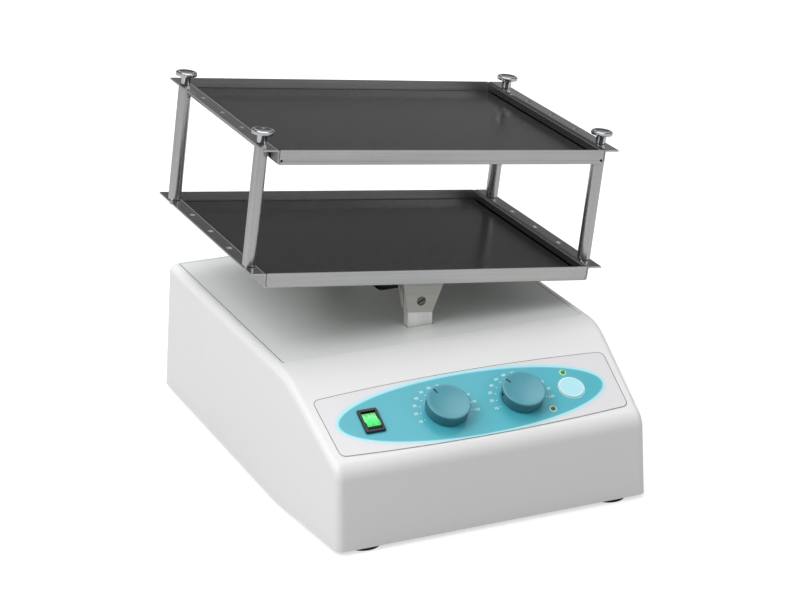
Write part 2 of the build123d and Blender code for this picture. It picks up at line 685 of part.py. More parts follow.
def bracket_rivets():
    """Countersunk rivets that hold the brackets and the yoke under the lower tray."""
    rivets = []
    held = [(place, BRACKET_SHEET) for place in bracket_rivet_places()]
    held += [(place, YOKE_SHEET) for place in yoke_rivet_places()]
    for (u, y), sheet in held:
        low = TRAY_BOTTOM_W - sheet
        head = rod(u, y, low - RIVET_HEAD_HEIGHT, low, RIVET_HEAD_RADIUS)
        rivets.append(head + rod(u, y, low, TRAY_BOTTOM_W + TRAY_SHEET, RIVET_RADIUS))
    return PLATFORM * Compound(rivets)


def bracket_middles():
    return [BRACKET_FACE_Y + BRACKET_DEPTH / 2, REAR_BRACKET_FACE_Y - BRACKET_DEPTH / 2]


def bracket_rivet_places():
    return [(u, y) for y in bracket_middles() for u in (-BRACKET_RIVET_U, BRACKET_RIVET_U)]


# Trays, mats and posts


def tray(deck_w, front_groove):
    """A folded dish: side walls with flanges turned outward, plain walls in front and behind."""
    low = deck_w - TRAY_HEIGHT
    wall = TRAY_INNER_WIDTH / 2
    edge = TRAY_WIDTH / 2
    under = FilletPolyline(
        (-edge, deck_w - TRAY_SHEET),
        (-wall, deck_w - TRAY_SHEET),
        (-wall, low),
        (wall, low),
        (wall, deck_w - TRAY_SHEET),
        (edge, deck_w - TRAY_SHEET),
        radius=[TRAY_BEND, TRAY_BEND + TRAY_SHEET, TRAY_BEND + TRAY_SHEET, TRAY_BEND],
    )
    over = FilletPolyline(
        (-edge, deck_w),
        (-wall + TRAY_SHEET, deck_w),
        (-wall + TRAY_SHEET, low + TRAY_SHEET),
        (wall - TRAY_SHEET, low + TRAY_SHEET),
        (wall - TRAY_SHEET, deck_w),
        (edge, deck_w),
        radius=[TRAY_BEND + TRAY_SHEET, TRAY_BEND, TRAY_BEND, TRAY_BEND + TRAY_SHEET],
    )
    ends = Line((-edge, deck_w - TRAY_SHEET), (-edge, deck_w))
    ends += Line((edge, deck_w - TRAY_SHEET), (edge, deck_w))
    section = make_face(under + over + ends)
    rear_y = PLATFORM_Y + TRAY_DEPTH / 2
    front_y = PLATFORM_Y - TRAY_DEPTH / 2
    dish = Pos(0, rear_y, 0) * extrude(Plane.XZ * section, TRAY_DEPTH)
    span = wall - TRAY_BEND - TRAY_SHEET
    for y0, y1, outer in ((front_y, front_y + TRAY_SHEET, front_y), (rear_y - TRAY_SHEET, rear_y, rear_y)):
        panel = block(-span, span, y0, y1, low, deck_w)
        bottom = panel.edges().filter_by(Axis.X).filter_by_position(Axis.Z, low - 0.1, low + 0.1)
        rounded = bottom.filter_by_position(Axis.Y, outer - 0.1, outer + 0.1)
        panel = fillet(rounded, TRAY_SHEET * 0.8)
        dish -= block(-span, span, outer - TRAY_SHEET, outer + TRAY_SHEET, low - 1, low + TRAY_SHEET)
        dish += panel
        reach = wall - TRAY_SHEET / 2
        dish += block(-reach, reach, y0, y1, low + TRAY_BEND + TRAY_SHEET, deck_w - 0.2)
    for v in POST_V:
        for u in (-POST_U, POST_U):
            dish -= rod(u, v, deck_w - 2 * TRAY_SHEET, deck_w + PAST, POST_THREAD_RADIUS + FIT / 2)
    for i in (-1, 0, 1):
        for u in (-POST_U, POST_U):
            v = PLATFORM_Y + i * HOLE_PITCH
            dish -= rod(u, v, deck_w - 2 * TRAY_SHEET, deck_w + PAST, STRAP_HOLE_RADIUS)
    if front_groove:
        z = low + GROOVE_HEIGHT
        end = wall - GROOVE_END
        half_groove = GROOVE_WIDTH / 2
        dish -= block(-end, end, front_y - PAST, front_y + GROOVE_DEPTH, z - half_groove, z + half_groove)
        for u in (-end, end):
            dish -= rod_y(u, z, front_y - PAST, front_y + 1.1 * TRAY_SHEET, RELIEF_RADIUS)
    else:
        for u, y in bracket_rivet_places() + yoke_rivet_places():
            dish -= rod(u, y, low - PAST, low + 2 * TRAY_SHEET, RIVET_RADIUS + THREAD_FIT)
    return PLATFORM * dish


def mat(deck_w):
    half_u = TRAY_INNER_WIDTH / 2 - TRAY_SHEET - MAT_GAP
    half_v = TRAY_DEPTH / 2 - TRAY_SHEET - MAT_GAP
    low = deck_w - TRAY_HEIGHT + TRAY_SHEET
    y0, y1 = PLATFORM_Y - half_v, PLATFORM_Y + half_v
    return PLATFORM * pad(-half_u, half_u, y0, y1, low, low + MAT_THICKNESS, MAT_CORNER)


def tray_post(u, v):
    tube = rod(u, v, LOWER_DECK_W, UPPER_DECK_W - TRAY_SHEET, POST_RADIUS)
    tube = chamfer(tube.edges().filter_by(GeomType.CIRCLE), POST_CHAMFER)
    bore = POST_THREAD_RADIUS + THREAD_FIT
    tube -= rod(u, v, LOWER_DECK_W - PAST, LOWER_DECK_W + POST_LOWER_BORE, bore)
    return PLATFORM * (tube - rod(u, v, UPPER_DECK_W - POST_UPPER_BORE, UPPER_DECK_W + PAST, bore))


def post_screws():
    """Screws that come up through the lower tray's flanges into the posts."""
    screws = []
    for u in (-POST_U, POST_U):
        for v in POST_V:
            screw = slotted_screw(
                LOWER_DECK_W - TRAY_SHEET, POST_SCREW_HEAD_RADIUS, POST_SCREW_HEAD_HEIGHT, POST_THREAD_RADIUS,
                POST_SCREW_LENGTH,
            )
            screws.append(Pos(u, v, 0) * screw)
    return PLATFORM * Compound(screws)


def thumb_screw(u, v):
    seat = UPPER_DECK_W + THREAD_FIT
    head_low = seat + THUMB_BARREL_HEIGHT
    head = rod(u, v, head_low, head_low + THUMB_HEAD_HEIGHT, THUMB_HEAD_RADIUS)
    head = fillet(head.edges().filter_by(GeomType.CIRCLE), THUMB_HEAD_ROUND)
    head_top = head_low + THUMB_HEAD_HEIGHT
    head -= rod(u, v, head_top - THUMB_DISH_DEPTH, head_top + PAST, THUMB_HEAD_RADIUS - THUMB_DISH_RIM)
    for i in range(THUMB_KNURLS):
        turn = 2 * pi * i / THUMB_KNURLS
        x = u + (THUMB_HEAD_RADIUS + THUMB_KNURL_OUT) * cos(turn)
        y = v + (THUMB_HEAD_RADIUS + THUMB_KNURL_OUT) * sin(turn)
        head -= rod(x, y, head_low - PAST, head_top + PAST, THUMB_KNURL_RADIUS)
    barrel = rod(u, v, seat, head_low, THUMB_BARREL_RADIUS)
    shank = rod(u, v, seat - THUMB_REACH, seat, POST_THREAD_RADIUS)
    return PLATFORM * (head + barrel + shank)


# Drive


def yoke_width():
    return YOKE_SLOT_LENGTH + 2 * YOKE_RIM


def yoke_rivet_places():
    return [(CRANK_ARM + du, PLATFORM_Y - YOKE_RIVET_V) for du in (-YOKE_RIVET_U, YOKE_RIVET_U)]


def yoke():
    """A plate that hangs from the tray's underside, with a long slot for the crank's roller."""
    slot_half = ROLLER_RADIUS + YOKE_SLOT_PLAY
    slot_w = -CRANK_DROP + YOKE_SLOT_RISE
    y0 = PLATFORM_Y - YOKE_SHEET / 2
    y1 = PLATFORM_Y + YOKE_SHEET / 2
    top = TRAY_BOTTOM_W
    left = CRANK_ARM - yoke_width() / 2
    right = CRANK_ARM + yoke_width() / 2
    eye_low = slot_w - slot_half - YOKE_RIM
    eye_high = slot_w + slot_half + YOKE_RIM
    eye = block(left, right, y0, y1, eye_low, eye_high)
    eye = fillet(eye.edges().filter_by(Axis.Y), YOKE_CORNER)
    neck = block(CRANK_ARM - YOKE_NECK / 2, CRANK_ARM + YOKE_NECK / 2, y0, y1, eye_high - PAST, top)
    foot_half = YOKE_FOOT_WIDTH / 2
    foot_y = y0 - YOKE_FOOT_REACH
    foot_plate = block(CRANK_ARM - foot_half, CRANK_ARM + foot_half, foot_y, y1, top - YOKE_SHEET, top)
    slot = block(
        CRANK_ARM - YOKE_SLOT_LENGTH / 2, CRANK_ARM + YOKE_SLOT_LENGTH / 2, y0 - PAST, y1 + PAST,
        slot_w - slot_half, slot_w + slot_half,
    )
    slot = fillet(slot.edges().filter_by(Axis.Y), slot_half - 0.01)
    plate = eye + neck + foot_plate - slot
    for u, v in yoke_rivet_places():
        plate -= rod(u, v, top - 2 * YOKE_SHEET, top + PAST, RIVET_RADIUS + THREAD_FIT)
    return PLATFORM * plate


def crank_pin_place():
    turn = radians(CRANK_REST_ANGLE)
    return CRANK_ARM + CRANK_RADIUS * cos(turn), CRANK_Z + CRANK_RADIUS * sin(turn)


def crank_disc():
    back_y = CRANK_DISC_Y + CRANK_DISC_THICKNESS
    disc = rod_y(CRANK_ARM, CRANK_Z, CRANK_DISC_Y, back_y, CRANK_DISC_RADIUS)
    disc = chamfer(disc.edges().filter_by(GeomType.CIRCLE), CRANK_DISC_CHAMFER)
    x, z = crank_pin_place()
    disc -= rod_y(x, z, CRANK_DISC_Y - PAST, CRANK_DISC_Y + CRANK_PIN_BORE, CRANK_PIN_RADIUS + THREAD_FIT)
    disc -= rod_y(CRANK_ARM, CRANK_Z, back_y - CRANK_SHAFT_BORE, back_y + PAST, SHAFT_RADIUS + THREAD_FIT)
    return disc


def crank_pin():
    x, z = crank_pin_place()
    roller_y0 = PLATFORM_Y - ROLLER_WIDTH / 2
    cap_y = roller_y0 - ROLLER_END_PLAY
    pin = rod_y(x, z, cap_y, CRANK_DISC_Y + CRANK_PIN_BORE - SEAT_GAP, CRANK_PIN_RADIUS)
    pin += rod_y(x, z, cap_y - CRANK_PIN_CAP, cap_y, CRANK_PIN_CAP_RADIUS)
    return pin + rod_y(x, z, CRANK_DISC_Y - CRANK_COLLAR, CRANK_DISC_Y, CRANK_COLLAR_RADIUS)


def crank_roller():
    x, z = crank_pin_place()
    y0 = PLATFORM_Y - ROLLER_WIDTH / 2
    roller = rod_y(x, z, y0, y0 + ROLLER_WIDTH, ROLLER_RADIUS)
    roller = chamfer(roller.edges().filter_by(GeomType.CIRCLE), ROLLER_CHAMFER)
    return roller - rod_y(x, z, y0 - PAST, y0 + ROLLER_WIDTH + PAST, CRANK_PIN_RADIUS + RUNNING_FIT)


def output_shaft():
    start = CRANK_DISC_Y + CRANK_DISC_THICKNESS - CRANK_SHAFT_BORE + SEAT_GAP
    return rod_y(CRANK_ARM, CRANK_Z, start, GEARBOX_Y + SHAFT_IN_GEARBOX, SHAFT_RADIUS)


def gearbox():
    case = rod_y(CRANK_ARM, CRANK_Z, GEARBOX_Y, GEARBOX_Y + GEARBOX_LENGTH, GEARBOX_RADIUS)
    nose_y = GEARBOX_Y - GEARBOX_NOSE
    case += rod_y(CRANK_ARM, CRANK_Z, nose_y, GEARBOX_Y, GEARBOX_NOSE_RADIUS)
    bore_y = GEARBOX_Y + SHAFT_IN_GEARBOX + PAST
    case -= rod_y(CRANK_ARM, CRANK_Z, nose_y - PAST, bore_y, SHAFT_RADIUS + RUNNING_FIT)
    for x, z in gearbox_screw_places():
        case -= rod_y(x, z, GEARBOX_Y - PAST, GEARBOX_Y + GEARBOX_THREAD, MOTOR_SCREW_RADIUS + THREAD_FIT)
    return case


def gearbox_screw_places():
    turns = [radians(45 + 90 * i) for i in range(4)]
    reach = GEARBOX_SCREW_CIRCLE
    return [(CRANK_ARM + reach * cos(t), CRANK_Z + reach * sin(t)) for t in turns]


def motor():
    y0 = GEARBOX_Y + GEARBOX_LENGTH
    can = rod_y(CRANK_ARM, CRANK_Z, y0, y0 + MOTOR_LENGTH, MOTOR_RADIUS)
    can = fillet(can.edges().filter_by(GeomType.CIRCLE).sort_by(Axis.Y)[-1], MOTOR_END_ROUND)
    end_y = y0 + MOTOR_LENGTH
    tab = block(
        -MOTOR_TAB_WIDTH / 2, MOTOR_TAB_WIDTH / 2, end_y - PAST / 2, end_y + MOTOR_TAB_LENGTH,
        -MOTOR_TAB_THICKNESS / 2, MOTOR_TAB_THICKNESS / 2,
    )
    for dx in (-MOTOR_TAB_SPREAD, MOTOR_TAB_SPREAD):
        can += Pos(CRANK_ARM + dx, 0, CRANK_Z) * tab
    return can


def bracket_screw_places():
    xs = [CRANK_ARM + dx for dx in (-BRACKET_SCREW_U, BRACKET_SCREW_U)]
    return [(x, MOTOR_PLATE_Y + dy) for x in xs for dy in BRACKET_SCREW_ROWS]


def motor_bracket():
    x0, x1 = CRANK_ARM - MOTOR_BRACKET_HALF, CRANK_ARM + MOTOR_BRACKET_HALF
    plate = block(x0, x1, MOTOR_PLATE_Y, GEARBOX_Y, PLATE_TOP, CRANK_Z + MOTOR_BRACKET_OVER)
    foot_y = MOTOR_PLATE_Y + MOTOR_BRACKET_FOOT
    plate += block(x0, x1, MOTOR_PLATE_Y, foot_y, PLATE_TOP, PLATE_TOP + MOTOR_BRACKET_SHEET)
    for x in (x0, x1 - MOTOR_BRACKET_SHEET):
        web_top = (MOTOR_PLATE_Y, PLATE_TOP + MOTOR_WEB_HEIGHT)
        web = make_face(Polyline((MOTOR_PLATE_Y, PLATE_TOP), (foot_y, PLATE_TOP), web_top, close=True))
        plate += Pos(x, 0, 0) * extrude(Plane.YZ * web, MOTOR_BRACKET_SHEET)
    plate -= rod_y(CRANK_ARM, CRANK_Z, MOTOR_PLATE_Y - PAST, GEARBOX_Y + PAST, GEARBOX_NOSE_RADIUS + FIT)
    for x, z in gearbox_screw_places():
        plate -= rod_y(x, z, MOTOR_PLATE_Y - PAST, GEARBOX_Y + PAST, MOTOR_SCREW_RADIUS + FIT / 2)
    for x, y in bracket_screw_places():
        plate -= rod(x, y, 0, PLATE_TOP + 2 * MOTOR_BRACKET_SHEET, POST_THREAD_RADIUS + THREAD_FIT)
    return plate


def motor_screws():
    screws = []
    for x, z in gearbox_screw_places():
        head = rod_y(x, z, MOTOR_PLATE_Y - MOTOR_SCREW_HEAD, MOTOR_PLATE_Y, MOTOR_SCREW_HEAD_RADIUS)
        end_y = GEARBOX_Y + GEARBOX_THREAD - SEAT_GAP
        screws.append(head + rod_y(x, z, MOTOR_PLATE_Y, end_y, MOTOR_SCREW_RADIUS))
    return Compound(screws)


# Control panel


def overlay():
    """The printed film; its long edges bow outward."""
    low_left = (-OVERLAY_LOW_HALF, OVERLAY_LOW_S)
    low_right = (OVERLAY_LOW_HALF, OVERLAY_LOW_S)
    high_left = (-OVERLAY_HIGH_HALF, OVERLAY_HIGH_S)
    high_right = (OVERLAY_HIGH_HALF, OVERLAY_HIGH_S)
    low_edge = ThreePointArc(low_left, (0, OVERLAY_LOW_S - OVERLAY_LOW_BOW), low_right)
    high_edge = ThreePointArc(high_right, (0, OVERLAY_HIGH_S + OVERLAY_HIGH_BOW), high_left)
    outline = make_face(low_edge + Line(low_right, high_right) + high_edge + Line(high_left, low_left))
    film = extrude(fillet(outline.vertices(), OVERLAY_CORNER), OVERLAY_THICKNESS)
    body_x, body_s = SWITCH_BODY
    film -= Pos(SWITCH_X, SWITCH_S, 0) * upright(body_x + FIT, body_s + FIT, -PAST, PAST)
    for x in (SPEED_KNOB_X, TIME_KNOB_X):
        film -= rod(x, KNOB_S, -PAST, PAST, KNOB_HOLE_RADIUS)
    film -= rod(KEY_X, KEY_S, -PAST, PAST, KEY_RADIUS + FIT)
    for x, s in (RUN_LAMP, HOLD_LAMP):
        film -= rod(x, s, -PAST, PAST, LAMP_RADIUS + FIT / 2)
    return PANEL.location * film


def knob(x, pointer):
    low = OVERLAY_THICKNESS + KNOB_GAP
    high = low + KNOB_HEIGHT
    outline = Polyline(
        (0, low + KNOB_CAVITY_DEPTH),
        (KNOB_CAVITY_RADIUS, low + KNOB_CAVITY_DEPTH),
        (KNOB_CAVITY_RADIUS, low),
        (KNOB_FOOT_RADIUS, low),
        (KNOB_TOP_RADIUS, high - KNOB_TOP_STEP),
        (0, high),
        close=True,
    )
    body = revolve(Plane.XZ * make_face(outline), Axis.Z)
    rim = body.edges().filter_by(GeomType.CIRCLE).group_by(Axis.Z)[-1]
    body = fillet(rim, KNOB_ROUND)
    body -= rod(0, 0, 0, high - KNOB_SHELL, POT_SHAFT_RADIUS + THREAD_FIT)
    grub = rod_x(0, low + KNOB_GRUB_HEIGHT, 0, KNOB_TOP_RADIUS + PAST, KNOB_GRUB_RADIUS + THREAD_FIT)
    half = KNOB_MARK_WIDTH / 2
    mark = block(KNOB_MARK_START, KNOB_MARK_END, -half, half, high - KNOB_MARK_DEPTH, high + PAST)
    body -= Rot(0, 0, pointer + KNOB_GRUB_TURN) * grub
    return panel_at(x, KNOB_S, body - Rot(0, 0, pointer) * mark)


def pot_shaft(x):
    top = OVERLAY_THICKNESS + KNOB_GAP + KNOB_HEIGHT - KNOB_SHELL
    low = -WALL - POT_DEPTH + POT_SHAFT_DEEP
    return panel_at(x, KNOB_S, rod(0, 0, low, top - POT_SHAFT_END_PLAY, POT_SHAFT_RADIUS))


def pot_body(x):
    body = block(-POT_SIDE / 2, POT_SIDE / 2, -POT_SIDE / 2, POT_SIDE / 2, -WALL - POT_DEPTH, -WALL)
    body += rod(0, 0, -WALL, POT_BUSH_TOP, POT_BUSH_RADIUS)
    back = -WALL - POT_DEPTH
    half = POT_TAB_WIDTH / 2
    for i in (-1, 0, 1):
        dx = i * POT_TAB_PITCH
        edge = -POT_SIDE / 2
        body += block(dx - half, dx + half, edge - POT_TAB_LENGTH, edge, back, back + POT_TAB_THICKNESS)
    bore = POT_SHAFT_RADIUS + RUNNING_FIT
    body -= rod(0, 0, back + POT_SHAFT_DEEP - POT_SHAFT_CUSHION, POT_BUSH_TOP + PAST, bore)
    return panel_at(x, KNOB_S, body)


def pot_nuts():
    nuts = []
    for x in (SPEED_KNOB_X, TIME_KNOB_X):
        nut = extrude(RegularPolygon(POT_NUT_RADIUS, 6), POT_NUT_HEIGHT)
        nut -= rod(0, 0, -PAST, POT_NUT_HEIGHT + PAST, POT_BUSH_RADIUS + THREAD_FIT)
        nuts.append(panel_at(x, KNOB_S, nut))
    return Compound(nuts)


def switch_frame():
    bezel_x, bezel_s = SWITCH_BEZEL
    body_x, body_s = SWITCH_BODY
    top = OVERLAY_THICKNESS + SWITCH_BEZEL_HEIGHT
    bezel = pad(
        -bezel_x / 2, bezel_x / 2, -bezel_s / 2, bezel_s / 2, OVERLAY_THICKNESS, top, SWITCH_BEZEL_CORNER
    )
    bezel = chamfer(bezel.faces().sort_by(Axis.Z)[-1].edges(), SWITCH_BEZEL_CHAMFER)
    body = upright(body_x, body_s, -SWITCH_DEPTH, OVERLAY_THICKNESS)
    side = ROCKER_WIDTH / 2 + ROCKER_SIDE_PLAY
    opening = upright(2 * side, 2 * (ROCKER_RADIUS - SWITCH_LIP), ROCKER_PIVOT_N, top + PAST)
    hollow = rod_x(0, ROCKER_PIVOT_N, -side, side, ROCKER_RADIUS + ROCKER_PLAY)
    hollow &= upright(bezel_s, bezel_s, -SWITCH_DEPTH, OVERLAY_THICKNESS)
    frame = bezel + body - opening - hollow
    end = ROCKER_WIDTH / 2 + ROCKER_TRUNNION + ROCKER_TRUNNION_PLAY
    frame -= rod_x(0, ROCKER_PIVOT_N, -end, end, ROCKER_TRUNNION_RADIUS + RUNNING_FIT)
    tab_x, tab_s, tab_length = SWITCH_TAB
    for i in (-1, 0, 1):
        tab = upright(tab_x, tab_s, -SWITCH_DEPTH - tab_length, -SWITCH_DEPTH)
        frame += Pos(0, i * SWITCH_TAB_PITCH, 0) * tab
    return panel_at(SWITCH_X, SWITCH_S, frame)


def switch_rocker():
    """A lit rocker: its two facets meet in a shallow V, and its upper end is pressed in."""
    half = ROCKER_WIDTH / 2
    drum = rod_x(0, 0, -half, half, ROCKER_RADIUS)
    reach = 1.4 * ROCKER_RADIUS
    rise = ROCKER_VALLEY + reach * tan(radians(ROCKER_ANGLE))
    high = 2 * ROCKER_RADIUS
    above = make_face(
        Polyline((-reach, rise), (0, ROCKER_VALLEY), (reach, rise), (reach, high), (-reach, high), close=True)
    )
    drum -= Pos(-half - PAST, 0, 0) * extrude(Plane.YZ * above, ROCKER_WIDTH + 2 * PAST)
    drum -= block(-half - PAST, half + PAST, -reach, reach, -high, -ROCKER_FLAT)
    drum += rod_x(0, 0, -half - ROCKER_TRUNNION, half + ROCKER_TRUNNION, ROCKER_TRUNNION_RADIUS)
    drum = Rot(-ROCKER_ANGLE, 0, 0) * drum
    return panel_at(SWITCH_X, SWITCH_S, Pos(0, 0, ROCKER_PIVOT_N) * drum)


def start_key():
    seat = KEY_TRAVEL + KEY_GAP
    cap = rod(0, 0, seat, seat + KEY_CAP, KEY_RADIUS)
    cap = fillet(cap.edges().filter_by(GeomType.CIRCLE).sort_by(Axis.Z)[-1], KEY_ROUND)
    cap += rod(0, 0, key_switch_top(), seat, KEY_STEM_RADIUS)
    return panel_at(KEY_X, KEY_S, cap)


def key_switch_top():
    """Where the small switch under the key meets the key's stem at rest."""
    return BOARD_N + KEY_SWITCH_HEIGHT


def lamp(place):
    top = OVERLAY_THICKNESS + LAMP_PROUD
    body = rod(0, 0, BOARD_N, top, LAMP_RADIUS)
    dome = Pos(0, 0, top) * Sphere(LAMP_RADIUS)
    dome &= upright(3 * LAMP_RADIUS, 3 * LAMP_RADIUS, top, top + 2 * LAMP_RADIUS)
    flange = rod(0, 0, BOARD_N, BOARD_N + LAMP_FLANGE_HEIGHT, LAMP_RADIUS + LAMP_FLANGE)
    return panel_at(*place, body + dome + flange)


def control_board():
    xs = [x for x, s in BOARD_FIXINGS]
    ss = [s for x, s in BOARD_FIXINGS]
    board = pad(
        min(xs) - BOARD_EDGE, max(xs) + BOARD_EDGE, min(ss) - BOARD_EDGE, max(ss) + BOARD_EDGE,
        BOARD_N - BOARD_THICKNESS, BOARD_N, BOARD_CORNER,
    )
    low = BOARD_N - BOARD_THICKNESS
    for x, s in BOARD_FIXINGS:
        board -= rod(x, s, low - PAST, BOARD_N + PAST, BOARD_SCREW_RADIUS + FIT / 2)
    for x, s, side, height in BOARD_CHIPS:
        board += Pos(x, s, 0) * upright(side, side * 0.7, BOARD_N, BOARD_N + height)
    key_switch = upright(KEY_SWITCH_SIDE, KEY_SWITCH_SIDE, BOARD_N, key_switch_top() - KEY_TRAVEL - KEY_GAP)
    board += Pos(KEY_X, KEY_S, 0) * key_switch
    for x in BOARD_CANS:
        board += rod(x, BOARD_CAN_S, low - BOARD_CAN_HEIGHT, low, BOARD_CAN_RADIUS)
    return PANEL.location * board


def board_screws():
    """The screws of both circuit boards."""
    screws = []
    low = BOARD_N - BOARD_THICKNESS
    for x, s in BOARD_FIXINGS:
        head = rod(0, 0, low - BOARD_SCREW_HEAD, low, BOARD_SCREW_HEAD_RADIUS)
        screws.append(panel_at(x, s, head + rod(0, 0, low, BOARD_N + BOARD_SCREW_REACH, BOARD_SCREW_RADIUS)))
    top = PLATE_TOP + SUPPLY_PILLAR + BOARD_THICKNESS
    for x, y in supply_fixings():
        head = rod(x, y, top, top + BOARD_SCREW_HEAD, BOARD_SCREW_HEAD_RADIUS)
        screws.append(head + rod(x, y, PLATE_Z + SEAT_GAP, top, BOARD_SCREW_RADIUS))
    return Compound(screws)


# Supply and rear panel


def supply_fixings():
    reach_x, reach_y = SUPPLY_FIXING
    return [(SUPPLY_X + i * reach_x, SUPPLY_Y + j * reach_y) for i in (-1, 1) for j in (-1, 1)]


def supply_board():
    """The supply's board on four pillars, with its capacitors and driver."""
    z = PLATE_TOP + SUPPLY_PILLAR
    top = z + BOARD_THICKNESS
    half_x, half_y = SUPPLY_SIZE[0] / 2, SUPPLY_SIZE[1] / 2
    board = pad(-half_x, half_x, -half_y, half_y, z, top, BOARD_CORNER)
    for x, y, radius, height in SUPPLY_CANS:
        board += rod(x, y, top, top + height, radius)
    width, thickness, height = SUPPLY_SINK
    board += Pos(*SUPPLY_SINK_PLACE, 0) * upright(width, thickness, top, top + height)
    width, depth, height = SUPPLY_PART
    for i in range(SUPPLY_PARTS):
        y = SUPPLY_PART_Y + SUPPLY_PART_PITCH * i
        board += Pos(SUPPLY_PART_X, y, 0) * upright(width, depth, top, top + height)
    board = Pos(SUPPLY_X, SUPPLY_Y, 0) * board
    for x, y in supply_fixings():
        board += rod(x, y, PLATE_TOP, z, SUPPLY_PILLAR_RADIUS)
        board -= rod(x, y, 0, top + PAST, BOARD_SCREW_RADIUS + THREAD_FIT)
    return board


def transformer():
    """A transformer on the supply board: a laminated core round a wound bobbin."""
    width, depth, height = CORE_SIZE
    core = upright(width, depth, 0, height)
    window = upright(CORE_LIMB, depth + 2 * PAST, CORE_YOKE, height - CORE_YOKE)
    for side in (-1, 1):
        core -= Pos(side * CORE_WINDOW_X, 0, 0) * window
    return transformer_place() * core


def transformer_place():
    return Pos(SUPPLY_X, SUPPLY_Y + TRANSFORMER_Y, PLATE_TOP + SUPPLY_PILLAR + BOARD_THICKNESS)


def transformer_winding():
    width, depth = WINDING_SIZE
    low = CORE_YOKE + WINDING_END_GAP
    high = CORE_SIZE[2] - low
    outer = pad(-width / 2, width / 2, -depth / 2, depth / 2, low, high, WINDING_CORNER)
    bore = upright(CORE_LIMB + 2 * FIT, CORE_SIZE[1] + 2 * FIT, low - PAST, high + PAST)
    return transformer_place() * (outer - bore)


def rear_at(x, s, shape):
    """Puts a shape drawn about the origin, +Z outward, on the rear wall."""
    return REAR_PANEL.location * Pos(-x, s, 0) * shape


def power_inlet():
    """A snap-in inlet with three blades in a six-sided pocket."""
    face_x, face_s = INLET_FACE[0] / 2, INLET_FACE[1] / 2
    inlet = pad(-face_x, face_x, -face_s, face_s, 0, INLET_RIM, INLET_CORNER)
    inlet += upright(*INLET_BODY, -INLET_DEPTH, 0)
    half_x, half_s = INLET_POCKET[0] / 2, INLET_POCKET[1] / 2
    cut_x, cut_s = half_x - INLET_POCKET_CORNER, half_s - INLET_POCKET_CORNER
    corners = [(-half_x, -half_s), (half_x, -half_s), (half_x, cut_s), (cut_x, half_s)]
    corners += [(-cut_x, half_s), (-half_x, cut_s)]
    pocket = extrude(make_face(Polyline(*corners, close=True)), INLET_DEPTH + INLET_RIM)
    inlet -= Pos(0, 0, INLET_FLOOR - INLET_DEPTH) * pocket
    width, length, height = INLET_LATCH
    latch_top = -WALL - INLET_LATCH_GAP
    for side in (-1, 1):
        inlet += Pos(side * INLET_LATCH_X, 0, 0) * upright(width, length, latch_top - height, latch_top)
    low = -INLET_BLADE_TOP - INLET_BLADE_LENGTH
    for x, s in INLET_BLADES:
        inlet += Pos(x, s, 0) * upright(*INLET_BLADE, low, -INLET_BLADE_TOP)
    return rear_at(INLET_X, INLET_S, inlet)


def fuse_holder():
    top = FUSE_RIM + FUSE_CAP
    body = rod(0, 0, -FUSE_DEPTH, top, FUSE_RADIUS) + rod(0, 0, 0, FUSE_RIM, FUSE_RIM_RADIUS)
    length, width, depth = FUSE_SLOT
    body -= upright(length, width, top - depth, top + PAST)
    nut = rod(0, 0, -WALL - FUSE_NUT, -WALL, FUSE_RIM_RADIUS)
    return rear_at(FUSE_X, INLET_S, body + nut)


def rating_plate():
    half_x, half_s = RATING_SIZE[0] / 2, RATING_SIZE[1] / 2
    plate = pad(-half_x, half_x, -half_s, half_s, 0, RATING_THICKNESS, RATING_CORNER)
    return rear_at(RATING_X, INLET_S, plate)


